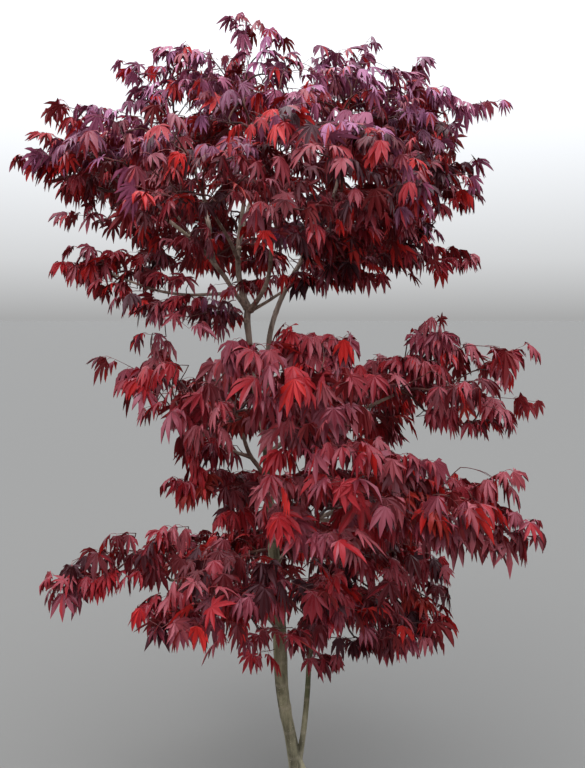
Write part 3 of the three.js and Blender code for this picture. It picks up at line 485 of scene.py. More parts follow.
# -------------------------------------------------- where foliage may be: a grid
GRID_LO = np.array(CAD_BOX[0]) - 0.12
GRID_HI = np.array(CAD_BOX[1]) + 0.12
GRID_N = np.ceil((GRID_HI - GRID_LO) / CELL).astype(int)
label = np.full(GRID_N, -1, np.int16)
for m, mass in enumerate(MASSES):
    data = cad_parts[mass["name"]].data
    tree = BVHTree.FromPolygons([v.co.copy() for v in data.vertices], [list(p.vertices) for p in data.polygons])
    lo, hi = (np.array(c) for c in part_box(mass["name"]))
    i0 = np.maximum(0, np.floor((lo - GRID_LO) / CELL).astype(int))
    i1 = np.minimum(GRID_N - 1, np.ceil((hi - GRID_LO) / CELL).astype(int))
    for i in range(i0[0], i1[0] + 1):
        for j in range(i0[1], i1[1] + 1):
            x, y = GRID_LO[0] + (i + 0.5) * CELL, GRID_LO[1] + (j + 0.5) * CELL
            z, crossings = hi[2] + 0.01, []
            for _ in range(8):
                hit = tree.ray_cast(Vector((x, y, z)), Vector((0, 0, -1)))
                if hit[0] is None:
                    break
                crossings.append(hit[0].z)
                z = hit[0].z - 1e-4
            for top, low in zip(crossings[0::2], crossings[1::2]):
                k0 = int(math.ceil((low - GRID_LO[2]) / CELL - 0.5))
                k1 = int(math.floor((top - GRID_LO[2]) / CELL - 0.5))
                label[i, j, max(0, k0) : k1 + 1] = m


centres = [GRID_LO[c] + (np.arange(GRID_N[c]) + 0.5) * CELL for c in range(3)]
shut = np.zeros(GRID_N, bool)  # where no leaf may hang either
for pocket in OPEN:
    parts = [((centres[c] - pocket["at"][c] * MM) / (pocket["half"][c] * MM)) ** 2 for c in range(3)]
    far = parts[0][:, None, None] + parts[1][None, :, None] + parts[2][None, None, :]
    label[far < 1] = -1
    shut |= far < 0.62


def shifted(a, axis, by, fill):
    out = np.full_like(a, fill)
    src, dst = [slice(None)] * 3, [slice(None)] * 3
    if by > 0:
        src[axis], dst[axis] = slice(0, -by), slice(by, None)
    else:
        src[axis], dst[axis] = slice(-by, None), slice(0, by)
    out[tuple(dst)] = a[tuple(src)]
    return out


filled = label >= 0
for axis in range(3):  # the thin gaps between neighbouring masses
    filled |= shifted(filled, axis, 1, False) & shifted(filled, axis, -1, False)
depth = np.zeros(GRID_N, np.float32)  # metres below the surface
now = filled.copy()
for _ in range(14):
    depth += now * CELL
    now = now & np.logical_and.reduce([shifted(now, ax, by, False) for ax in range(3) for by in (1, -1)])
cover = np.cumsum(filled[:, :, ::-1], axis=2)[:, :, ::-1] * CELL  # metres of foliage overhead
under = np.cumsum(filled, axis=2) * CELL  # and below
near = filled.copy()  # the same room, a little larger
tip_room = filled.copy()  # and larger still, for the tips of leaves
for step in range(3):
    tip_room = tip_room | np.logical_or.reduce([shifted(tip_room, ax, by, False) for ax in range(3) for by in (1, -1)])
    if step == 0:
        near = tip_room.copy()
BOX_LO = np.array(CAD_BOX[0]) - 0.024
BOX_HI = np.array(CAD_BOX[1]) + 0.024


def cell(p):
    c = np.floor((np.asarray(p) - GRID_LO) / CELL).astype(int)
    return tuple(np.moveaxis(np.clip(c, 0, GRID_N - 1), -1, 0))


def trunk_axis(z):
    """The middle of the tree at a height, for what is outwards."""
    return np.stack([np.interp(z, [0, 0.6, 1.2, 1.6, 2.4], [0, -0.076, -0.12, -0.15, -0.13]), np.interp(z, [0, 2.4], [0.0, 0.06])], -1)


# ------------------------------------------------------ feet of sprays, and wood
rng = np.random.default_rng(20)

feet, foot_mass, foot_tip, foot_pairs = [], [], [], []
for m, mass in enumerate(MASSES):  # the furthest shoots come first
    c = np.array(mass["at"]) * MM
    for tip in mass["tips"]:
        T = np.array(tip) * MM
        d = unit(T - c)
        steep = max(0.0, d[2])
        end = T - np.array([d[0], d[1], 0]) * 0.050 + UP * (0.03 * (1 - steep) - 0.012 * steep)
        if d[2] < -0.45:
            end = end + UP * 0.075
        run = min(0.15, 0.55 * np.linalg.norm(T - c))
        feet.append(end - unit(d + UP * 0.15) * run)
        foot_mass.append(m)
        foot_tip.append(end)
        foot_pairs.append(4)
middles = np.array([m["at"] for m in MASSES]) * MM
halves = np.array([m["half"] for m in MASSES]) * MM
for tuft in TUFTS:
    end = np.array(tuft["at"]) * MM
    m = int(np.argmin(np.linalg.norm((end - middles) / halves, axis=1)))
    axis = trunk_axis(end[2])
    d = unit(np.array([end[0] - axis[0], end[1] - axis[1], 0.0]))
    feet.append(end - unit(d + UP * 0.10) * (0.035 + 0.022 * tuft["pairs"]))
    foot_mass.append(m)
    foot_tip.append(end)
    foot_pairs.append(tuft["pairs"])

where = np.argwhere(label >= 0)
order = rng.permutation(len(where))[: 90000]
where = where[order]
spots = GRID_LO + (where + rng.random(where.shape)) * CELL
of_mass = label[tuple(where.T)]
deep = depth[tuple(where.T)]
gap = np.array([SPRAY_GAP * m["gap"] for m in MASSES])[of_mass] * (1 + 0.9 * np.clip((deep - 0.10) / 0.10, 0, 1))
ok = filled[cell(spots - UP * 0.055)] & filled[cell(spots + [0.02, 0, -0.03])] & filled[cell(spots - [0.02, 0, 0.03])]
ok &= filled[cell(spots + [0, 0.02, -0.03])] & filled[cell(spots - [0, 0.02, 0.03])]
sway = value_noise(np.stack([spots[:, 0] / 0.28, spots[:, 1] / 0.28, of_mass * 5.3], -1), 31)
shelf = (spots[:, 2] / SHELF_HEIGHT + 0.8 * sway + of_mass * 0.37) % 1.0
ok &= (shelf < SHELF_SHARE) | (rng.random(len(spots)) < SHELF_LOOSE)
kept_list = list(feet)
for p, g, m, good in zip(spots, gap, of_mass, ok):
    if not good:
        continue
    d = (np.asarray(kept_list) - p) * [1, 1, SPRAY_LAYER]
    if np.min(np.einsum("ij,ij->i", d, d)) < g * g:
        continue
    kept_list.append(p)
    feet.append(p)
    foot_mass.append(int(m))
    foot_tip.append(None)
    foot_pairs.append(0)
feet = np.array(feet)
foot_mass = np.array(foot_mass)

# Growing points of the limbs.
wood_p, wood_d, wood_r, wood_cost = [], [], [], []
for k, limb in enumerate(LIMBS):
    Q, R, t = limb_line(limb, 0.022)
    T = unit(np.gradient(Q, axis=0))
    for i in range(1, len(Q)):
        if Q[i][2] < 0.45:
            continue
        wood_p.append(Q[i])
        wood_d.append(T[i])
        wood_r.append(R[i])
        wood_cost.append(0.10 if limb["from"] is None else 0.0)
wood_p, wood_d, wood_r, wood_cost = map(np.array, (wood_p, wood_d, wood_r, wood_cost))
NW, NF = len(wood_p), len(feet)

node_p = np.concatenate([wood_p, feet])
node_dir = np.concatenate([wood_d, np.zeros((NF, 3))])
node_way = np.concatenate([wood_cost + 0.0, np.full(NF, 1e9)])
parent = np.full(NW + NF, -1)


def edge_cost(i, targets):
    v = node_p[targets] - node_p[i]
    d = np.linalg.norm(v, axis=1)
    u = v / np.maximum(d, 1e-6)[:, None]
    back = np.clip(0.35 - u @ node_dir[i], 0, 1)
    low = np.clip(-u[:, 2] - 0.35, 0, 1)  # wood seldom grows down
    gaps = np.zeros(len(targets))
    for f in (0.25, 0.5, 0.75):
        gaps += ~near[cell(node_p[i] + v * f)]
    return d * (1 + 0.35 * back + 0.45 * low + 0.55 * gaps) + PATH_WEIGHT * node_way[i]


best = np.full(NW + NF, np.inf)
lead = np.full(NW + NF, -1)
todo = np.arange(NW, NW + NF)
for i in range(NW):
    c = edge_cost(i, todo)
    better = c < best[todo]
    best[todo[better]] = c[better]
    lead[todo[better]] = i
left = np.ones(NW + NF, bool)
left[:NW] = False
grown = []
for _ in range(NF):
    live = np.nonzero(left)[0]
    j = live[np.argmin(best[live])]
    i = lead[j]
    parent[j] = i
    left[j] = False
    grown.append(j)
    node_way[j] = node_way[i] + np.linalg.norm(node_p[j] - node_p[i])
    d = unit(node_p[j] - node_p[i])
    node_dir[j] = unit(d + 0.35 * node_dir[i])
    live = np.nonzero(left)[0]
    if len(live):
        c = edge_cost(j, live)
        better = c < best[live]
        best[live[better]] = c[better]
        lead[live[better]] = j

# How much each twig carries, from the tips inwards, and so how thick it is.
load = np.zeros(NW + NF)
load[NW:] = 3.0 * LEAF_WOOD**PIPE_POWER
children = [[] for _ in range(NW + NF)]
for j in reversed(grown):
    load[parent[j]] += load[j]
    children[parent[j]].append(j)
thick = np.zeros(NW + NF)
thick[NW:] = load[NW:] ** (1 / PIPE_POWER)


# --------------------------------------------------------------- twigs and leaves
class Leaves:
    """Every leaf: its node, stalk, heading, size, mass, tint, youth, and the
    angles it hangs at."""

    def __init__(self):
        self.rows = []

    def add(self, *row):
        self.rows.append(row)

    def column(self, k):
        return np.array([row[k] for row in self.rows])


leaves = Leaves()
fine_wood, twig_wood = Heap(), Heap()


def turned(v, axis, angle):
    """v turned about an axis by an angle."""
    c, s = math.cos(angle), math.sin(angle)
    return v * c + np.cross(axis, v) * s + axis * np.dot(axis, v) * (1 - c)


def shoot(start, direction, length, rng, droop=0.55, toward=None):
    """The line of a leafy shoot, which sets out and then leans over."""
    n = max(3, int(round(length / 0.022)) + 1)
    step = length / (n - 1)
    P, d = [np.array(start, float)], unit(direction)
    wander = rng.normal(0, 0.10, 3)
    for k in range(1, n):
        if toward is not None:
            d = unit(d + 0.7 * unit(toward - P[-1]))
        else:
            d = unit(d - UP * droop * step / 0.10 + wander * 0.25 + rng.normal(0, 0.05, 3))
        P.append(P[-1] + d * step)
    return np.array(P)


def leaf_at(p, along, side, rng, mass, tone, out, share=1.0, young=0.0):
    """One leaf on a node of a shoot, on the side given, unless it would hang
    where the plant is open. Says whether it grew."""
    m = MASSES[mass]
    flat = unit(np.array([along[0], along[1], 0.0]) + 1e-6)
    d = unit(flat * math.cos(side) + np.array([-flat[1], flat[0], 0.0]) * math.sin(side))
    head = unit(d + 0.45 * out + rng.normal(0, 0.40, 3) * [1, 1, 0])
    head[2] = 0
    head = unit(head)
    length = rng.uniform(*STALK) * (1 - 0.35 * young)
    stalk = unit(0.8 * d + 0.35 * head + UP * rng.uniform(-0.25, 0.55)) * length
    form = FORMS[m["form"]]
    size = m["leaf"] * rng.uniform(0.74, 1.20) * share
    pitch = math.radians(float(np.clip(rng.normal(form["pitch"], 23), -8, 88)))
    roll = math.radians(rng.normal(0, 28))
    droop = float(np.clip(rng.normal(form["limp"], 0.19) + 0.10 * young, 0.05, 1.0))
    fold = float(np.clip(rng.normal(0.43, 0.19) + 0.25 * young, 0.05, 1.0))
    lies = unit(math.cos(pitch) * head - (math.sin(pitch) + 0.4 * droop) * UP)
    middle = p + stalk + 0.5 * size * lies
    across = np.cross(UP, head) * size * 0.78
    reach = np.stack([p + stalk + size * lies, middle + across, middle - across])
    if (reach < BOX_LO).any() or (reach > BOX_HI).any():
        return False
    if shut[cell(reach[0])] or shut[cell(middle)]:
        return False
    if young < 0.7 and not tip_room[cell(reach[0])]:
        return False
    if rng.random() < m["sky"] and young < 0.7:
        return False
    if not (near[cell(middle)] and near[cell(p + stalk)]) and young < 0.7:
        return False
    if rng.random() < 0.22:
        tone = pick_tone(p, mass, rng)
    if m["form"] in ("top", "crown") and rng.random() < (0.38 if under[cell(p)] < FRINGE else 0.05):
        tone = int(rng.choice(RED))  # the sky shines through, most of all at the lower edge
    leaves.add(p, stalk, head, size, mass, tone, young, pitch, roll, droop, fold)
    return True


def pick_tone(p, mass, rng):
    """The tint of a whole spray: purple, a painted sky sheen, where it is open to
    the sky; redder and darker, painted shade, under other foliage."""
    bias = MASSES[mass].get("shade", 1.0)  # above one, the tints darken to painted shade sooner
    shade = min(1.0, float(cover[cell(p)]) * max(1.0, bias) / SHADE) * min(1.0, bias)
    light, dark = (np.array(TINTS[MASSES[mass]["form"]][k]) for k in (0, 1))
    table = light * (1 - shade) + dark * shade
    return int(rng.choice(len(table), p=table / table.sum()))


def fine_twig(Q, R, last, sides):
    """A leafy shoot's wood, as far as the last node that bears anything."""
    if last > 1:
        thin_tube(fine_wood, Q[: last + 1], R[: last + 1], sides)
    elif last == 1:
        thin_tube(fine_wood, np.array([Q[0], (Q[0] + Q[1]) / 2, Q[1]]), R[:3], sides)


def spray(j, rng):
    """The shoots and leaves that stand on one foot. Says whether it bears any."""
    mass, p, end = int(foot_mass[j - NW]), node_p[j], foot_tip[j - NW]
    m = MASSES[mass]
    c, half = np.array(m["at"]) * MM, np.array(m["half"]) * MM
    out = (p - c) / half**2
    out = unit(out + 1e-6)
    axis = trunk_axis(p[2])
    radial = unit(np.array([p[0] - axis[0], p[1] - axis[1], 0.0]) + 1e-6)
    out = unit(np.array([out[0], out[1], 0.0]) * 0.6 + radial * 0.7 + 1e-6)
    tone = pick_tone(p, mass, rng)
    ends = []  # how far along the shoot anything grows
    if end is not None:  # one of the furthest shoots
        Q = shoot(p, unit(end - p) + UP * 0.15, np.linalg.norm(end - p) * 1.04, rng, toward=end)
        R = np.linspace(LEAF_WOOD * 1.4, LEAF_WOOD * 0.6, len(Q))
        tangent = unit(Q[-1] - Q[-2])
        base = rng.uniform(-0.4, 0.4)
        for s in (-0.7, 0.7):
            if leaf_at(Q[-1], tangent + out * 0.3, s + base, rng, mass, tone, out, 0.80, 0.8):
                ends.append(len(Q) - 1)
        pairs = foot_pairs[j - NW]
        for q in range(pairs):
            f = 1 - (q + 1) / (pairs + 0.6)
            k = int(round(f * (len(Q) - 1)))
            for s in (-1, 1):
                if leaf_at(Q[k], tangent, s * rng.uniform(0.9, 1.5), rng, mass, tone, out, 0.86 + 0.04 * q, 0.75):
                    ends.append(k)
        fine_twig(Q, R, max(ends, default=0), 5)
        return bool(ends)
    last = not children[j]
    heading = node_dir[j] * [1, 1, 0.3]
    if last:
        g = unit(0.55 * unit(heading) + 0.75 * out + rng.normal(0, 0.22, 3))
    else:
        swing = rng.choice([-1, 1]) * rng.uniform(0.7, 1.2)
        g = unit(0.5 * turned(unit(heading), UP, swing) + 0.75 * out + rng.normal(0, 0.22, 3))
    g[2] = rng.uniform(0.05, 0.50)
    g = unit(g)
    Q = shoot(p, g, rng.uniform(*SPRAY_LENGTH), rng)
    n = len(Q)
    R = np.linspace(LEAF_WOOD * 1.35, LEAF_WOOD * 0.75, n)
    tangent = unit(Q[-1] - Q[-2])
    base = rng.uniform(-0.3, 0.3)
    for s in (-0.85, 0.0, 0.85) if rng.random() < 0.75 else (-0.5, 0.5):
        if leaf_at(Q[-1], tangent, s + base, rng, mass, tone, out, 0.90, 0.25):
            ends.append(n - 1)
    for f in (0.38, 0.70):
        k = max(1, int(round(f * (n - 1))))
        for s in (-1, 1):
            if rng.random() < 0.10:
                continue
            if leaf_at(Q[k], unit(Q[k] - Q[k - 1]), s * rng.uniform(0.95, 1.6), rng, mass, tone, out):
                ends.append(k)
    for f, s in ((0.30, rng.choice([-1, 1])), (0.58, rng.choice([-1, 1]))):
        if rng.random() < 0.15:
            continue
        k = max(1, int(round(f * (n - 1))))
        d = unit(Q[k] - Q[k - 1])
        g2 = turned(d, UP, s * rng.uniform(0.7, 1.15)) + UP * rng.uniform(-0.1, 0.35)
        S = shoot(Q[k], g2, rng.uniform(*SIDE_LENGTH), rng)
        tangent = unit(S[-1] - S[-2])
        grew = [leaf_at(S[-1], tangent, a + rng.uniform(-0.2, 0.2), rng, mass, tone, out, 0.95, 0.2) for a in (-0.8, 0.8)]
        if any(grew):
            thin_tube(fine_wood, S, np.linspace(LEAF_WOOD, LEAF_WOOD * 0.65, len(S)), 4)
            ends.append(k)
    fine_twig(Q, R, max(ends, default=0), 4)
    return bool(ends)


# The tints, named, and how often a spray takes each of them, by part of the
# tree: in the open, and below so many metres of foliage. The purple tints of
# the open are a painted sky sheen, the dark maroon and wine under foliage
# painted shade.
TONES = [
    ("mauve", (146, 83, 118)),
    ("plum", (108, 51, 74)),
    ("claret", (112, 38, 49)),
    ("rose", (142, 67, 92)),
    ("dusk", (138, 60, 66)),
    ("burgundy", (122, 25, 33)),
    ("crimson", (140, 24, 29)),
    ("maroon", (48, 12, 15)),
    ("wine", (76, 15, 18)),
    ("scarlet", (168, 29, 25)),
    ("russet", (128, 31, 22)),
]
PURPLE = ("mauve", "plum", "rose")
MATT = ("crimson", "scarlet", "russet", "maroon", "wine")
GLOW = np.array([6, 6, 6, 9, 6, 6, 9, 5, 5, 9, 9])  # what half a lobe of each turns to
RED = (6, 9)
FRINGE = 0.09  # so little foliage is below the lowest leaves
# Under this many metres of foliage a spray takes only the dark tints of painted shade.
SHADE = 0.22
TINTS = {
    "top": (
        (0.45, 0.19, 0.07, 0.22, 0.01, 0.02, 0.01, 0.00, 0.00, 0.03, 0.00),
        (0.36, 0.26, 0.12, 0.17, 0.01, 0.03, 0.01, 0.00, 0.00, 0.03, 0.01),
    ),
    "crown": (
        (0.22, 0.22, 0.22, 0.10, 0.06, 0.07, 0.02, 0.04, 0.02, 0.03, 0.00),
        (0.00, 0.03, 0.18, 0.00, 0.06, 0.27, 0.12, 0.14, 0.17, 0.01, 0.02),
    ),
    "middle": (
        (0.00, 0.00, 0.32, 0.00, 0.35, 0.23, 0.07, 0.00, 0.01, 0.01, 0.01),
        (0.00, 0.00, 0.14, 0.00, 0.18, 0.38, 0.14, 0.02, 0.11, 0.00, 0.03),
    ),
    "skirt": (
        (0.00, 0.00, 0.22, 0.00, 0.37, 0.27, 0.10, 0.00, 0.01, 0.01, 0.02),
        (0.00, 0.00, 0.10, 0.00, 0.06, 0.38, 0.14, 0.08, 0.21, 0.00, 0.03),
    ),
}
# Tints of the lower faces: wine; a bright red, a painted glow of light through the leaf; and orchid, a painted glow of
# the sky through the top leaves.
BACKS = [("wine", (112, 20, 25)), ("red", (186, 30, 28)), ("orchid_sky_glow", (148, 76, 106))]


def smooth_chain(points, radii, rng):
    """A twig through its nodes, with small bends of its own."""
    P = np.asarray(points)
    n = 8 * (len(P) - 1) + 1
    Q = catmull(P, n)
    R = np.interp(np.linspace(0, len(P) - 1, n), np.arange(len(P)), radii)
    Q, R, t = even(Q, R, 0.022)
    wave = value_noise(np.stack([t / 0.05, t * 0, t * 0 + rng.uniform(0, 99)], -1), 5)
    wave2 = value_noise(np.stack([t / 0.05, t * 0, t * 0 + rng.uniform(0, 99)], -1), 6)
    ease = np.minimum(1, np.minimum(t, t[-1] - t) / 0.03)
    Q[:, 0] += 0.004 * wave * ease
    Q[:, 1] += 0.004 * wave2 * ease
    return Q, R


bears = {j: spray(j, np.random.default_rng(70000 + int(j))) for j in range(NW, NW + NF)}
for j in reversed(grown):  # no bare twigs
    if bears[j]:
        bears[parent[j]] = True
children = [[q for q in kids if bears[q]] for kids in children]

for j in range(NW + NF):
    starts = children[j] if j < NW else sorted(children[j], key=lambda q: -load[q])[1:]
    for first in starts:
        chain = [first]
        while children[chain[-1]]:
            chain.append(max(children[chain[-1]], key=lambda q: load[q]))
        crng = np.random.default_rng(500000 + int(first))
        pts = [node_p[j]] + [node_p[q] for q in chain]
        limit = wood_r[j] * 0.85 if j < NW else thick[j] * 0.92
        rad = [min(limit, thick[first] * 1.08)] + [min(limit, thick[q]) for q in chain]
        # The twig sets out along the wood that carries it, then turns away.
        v = pts[1] - pts[0]
        bend = pts[0] + v * 0.38 + node_dir[j] * np.linalg.norm(v) * 0.10 + UP * np.linalg.norm(v) * 0.03
        pts.insert(1, bend)
        rad.insert(1, (rad[0] + rad[1]) / 2)
        Q, R = smooth_chain(pts, rad, crng)
        thin_tube(twig_wood, Q, R, 6 if rad[0] > 0.003 else 5 if rad[0] > 0.0018 else 4)


# ------------------------------------------------------------------ leaf meshes
def lobe_paths(J, h, pitch, roll, size, droop, open_by, stops, rng):
    """Middle lines of the seven lobes at each leaf's own stops and at their
    tips, with the side and normal directions there."""
    n = len(J)
    s = np.cross(UP, h)
    f = np.cos(pitch)[:, None] * h - np.sin(pitch)[:, None] * UP
    N = np.cross(f, s)
    s2 = np.cos(roll)[:, None] * s + np.sin(roll)[:, None] * N
    N2 = np.cross(f, s2)
    steps = 25
    stops = [np.round(np.asarray(t) * steps).astype(int) for t in stops] + [np.full(n, steps)]
    paths = []
    spread = open_by * (0.80 + 0.48 * rng.random(n))  # how wide the whole palm opens
    every = np.arange(n)
    for azimuth, length in LOBES:
        a = math.radians(azimuth) * spread * (1 + rng.normal(0, 0.05, n)) + rng.normal(0, 0.06, n)
        ca, sa = np.cos(a)[:, None], np.sin(a)[:, None]
        d = ca * f + sa * s2
        e = -sa * f + ca * s2
        L = (size * length * np.clip(1 + rng.normal(0, 0.10, n), 0.7, 1.25))[:, None]
        pull = (droop * (1 + 0.40 * np.abs(np.sin(a))) * (0.65 + 0.65 * rng.random(n)))[:, None]
        p, track, along = J.copy(), [J.copy()], [d]
        for k in range(steps):
            b = np.clip(pull * ((k + 0.5) / steps) ** 0.8, 0, 0.90)
            T = unit(d * (1 - b) - UP * b)
            p = p + T * L / steps
            track.append(p.copy())
            along.append(T)
        track, along, out = np.array(track), np.array(along), []
        for stop in stops:
            T = along[stop, every]
            S = unit(e - np.sum(e * T, 1, keepdims=True) * T)
            out.append((track[stop, every], S, np.cross(T, S)))
        paths.append((L, out))
    return paths, N2


# A leaf is fourteen halves of lobes, each with points of its own, so that the
# pleats between them stay sharp. A half has its centre, middle line, edge and
# tip: eight points, or four on the two small lobes at the stalk. Leaves deep
# inside, and all lower faces, have fewer triangles on the same points.
LONG_FACES = ((0, 1, 4), (1, 2, 5), (1, 5, 4), (2, 3, 6), (2, 6, 5), (3, 7, 6))
INNER_FACES = ((0, 1, 4), (1, 3, 6), (1, 6, 4), (3, 7, 6))
LONG_BACKS = ((0, 1, 4), (1, 5, 4), (1, 7, 5))
SHORT_FACES = ((0, 1, 2), (1, 3, 2))


def leaf_points(J, h, pitch, roll, size, droop, fold, web, wide, open_by, rng):
    """The points of every half of every leaf, and the directions square to
    them: two lists, of the long halves and of the short ones."""
    stops = (web, 0.5 * web + 0.40, 0.25 * web + 0.72)
    paths, N = lobe_paths(J, h, pitch, roll, size, droop, open_by, stops, rng)
    lift = fold[:, None]
    webs = []
    for j in range(6):
        (La, A), (Lb, B) = paths[j], paths[j + 1]
        k0, k1 = (1 if j == 0 else 0), (1 if j == 5 else 0)
        mid = 0.5 * (A[k0][0] + B[k1][0])
        n = unit(A[k0][2] + B[k1][2])
        webs.append((mid + n * lift * 0.5 * (La + Lb) * 0.095, n))
    long_halves, short_halves = [], []
    for j, (L, out) in enumerate(paths):
        for right in (0, 1):
            sign = 1 if right else -1
            web = webs[j if right else j - 1] if (right and j < 6) or (not right and j > 0) else None
            if j in (0, 6):
                p, S, n = out[1]
                edge = web[0] if web is not None else p + sign * S * L * 0.10 + n * lift * L * 0.08
                short_halves.append((right, np.stack([J, p, edge, out[3][0]], 1), np.stack([N, n, n, out[3][2]], 1)))
                continue
            P = [J, out[0][0], out[1][0], out[2][0], web[0]]
            O = [N, out[0][2], out[1][2], out[2][2], web[1]]
            for q in (1, 2):
                p, S, n = out[q]
                w = LOBE_WIDE[q - 1] * L * wide[:, None]
                P.append(p + sign * S * w + n * lift * w)
                O.append(n)
            P.append(out[3][0])
            O.append(out[3][2])
            long_halves.append((right, np.stack(P, 1), np.stack(O, 1)))
    return long_halves, short_halves


node, stalk, head, size = (leaves.column(k) for k in range(4))
tone_of, young, pitch, roll, droop, fold = (leaves.column(k) for k in (5, 6, 7, 8, 9, 10))
J = node + stalk
total = len(node)
lrng = np.random.default_rng(77)
form_of = [FORMS[MASSES[m]["form"]] for m in leaves.column(4)]
web, wide, open_by = (np.array([f[key] for f in form_of]) for key in ("web", "wide", "open"))
web = web * lrng.uniform(0.90, 1.10, total)
wide = wide * lrng.uniform(0.88, 1.12, total)
LONG, SHORT = leaf_points(J, head, pitch, roll, size, droop, fold, web, wide, open_by, lrng)
middle = J + 0.35 * size[:, None] * (head - UP)
inner = depth[cell(middle)] > 0.085
shaded = cover[cell(middle)] > 0.12
form_name = np.array([MASSES[m]["form"] for m in leaves.column(4)])
# On leaves that catch the light some halves of lobes show it through.
lit = np.where(lrng.random(total) < np.where(shaded, 0.10, 0.15), 0.50, 0.02)
tint_long = [np.where(lrng.random(total) < lit, GLOW[tone_of], tone_of) for _ in LONG]
tint_short = [tone_of for _ in SHORT]
# Lower faces: about a quarter take the red painted glow, and leaves open to the sky at the top and in the crown mostly
# the orchid painted sky glow.
back_of = (lrng.random(total) < 0.26).astype(int)
back_of[(form_name == "top") & ~shaded & (lrng.random(total) < 0.85)] = 2
back_of[(form_name == "crown") & ~shaded & (lrng.random(total) < 0.45)] = 2
print("leaves", total, "inner", int(inner.sum()), "feet", NF)


def leaf_heap(kind, lower):
    """The faces of one tint: the upper ones, or the lower ones."""
    heap = Heap()
    for halves, tints, pattern, plain in (
        (LONG, tint_long, LONG_BACKS if lower else LONG_FACES, LONG_BACKS if lower else INNER_FACES),
        (SHORT, tint_short, SHORT_FACES, SHORT_FACES),
    ):
        for (right, P, O), tint in zip(halves, tints):
            same = (back_of if lower else tint) == kind
            for chosen, faces in ((same & ~inner, pattern), (same & inner, plain)):
                pick = np.nonzero(chosen)[0]
                if not len(pick):
                    continue
                v = P[pick] - (O[pick] * LEAF_THICK if lower else 0)
                f = np.array(faces)
                used = np.unique(f)
                f = np.searchsorted(used, f)
                if bool(right) == bool(lower):
                    f = f[:, ::-1]
                v = v[:, used]
                heap.add(v.reshape(-1, 3), (f[None] + (np.arange(len(pick)) * len(used))[:, None, None]).reshape(-1, 3))
    return heap


def stalk_heap():
    """Three-sided stalks, from their node up and over to their leaf."""
    heap = Heap()
    for chosen, bends in ((~inner, (0.0, 0.55, 1.0)), (inner, (0.0, 1.0))):
        a, b = node[chosen], J[chosen]
        T = unit(b - a)
        s = unit(np.cross(T, UP) + 1e-6)
        u = np.cross(s, T)
        rings = []
        for f in bends:
            p = a + (b - a) * f + UP * 0.0035 * (f == 0.55)
            for k in range(3):
                w = 2 * math.pi * k / 3
                rings.append(p + (s * math.cos(w) + u * math.sin(w)) * STALK_RADIUS * (1.25 - 0.25 * f))
        v = np.stack(rings, 1)
        f = []
        for q in range(0, 3 * (len(bends) - 1), 3):
            for k in range(3):
                k2 = (k + 1) % 3
                f += [(q + k, q + k2, q + 3 + k2), (q + k, q + 3 + k2, q + 3 + k)]
        f = np.array(f)
        heap.add(v.reshape(-1, 3), (f[None] + (np.arange(len(a)) * v.shape[1])[:, None, None]).reshape(-1, 3))
    return heap


# -------------------------------------------------------------------- materials
def linear(rgb):
    out = []
    for c in rgb:
        c /= 255.0
        out.append(c / 12.92 if c <= 0.04045 else ((c + 0.055) / 1.055) ** 2.4)
    return tuple(out) + (1.0,)


def plain_material(name, rgb, roughness, specular=0.5):
    mat = bpy.data.materials.new(name)
    mat.use_nodes = True
    shader = mat.node_tree.nodes["Principled BSDF"]
    shader.inputs["Base Color"].default_value = linear(rgb)
    shader.inputs["Roughness"].default_value = roughness
    shader.inputs["Specular IOR Level"].default_value = specular
    return mat


def leaf_material(name, rgb):
    """A leaf's upper face: a plain tint under a soft gloss, mauve on the purple
    ones."""
    mat = plain_material("leaf_" + name, rgb, 0.42, 0.34 if name in MATT else 0.60)
    gloss = (1.0, 0.74, 0.94, 1.0) if name in PURPLE else (1.0, 0.64, 0.76, 1.0)
    mat.node_tree.nodes["Principled BSDF"].inputs["Specular Tint"].default_value = gloss
    return mat


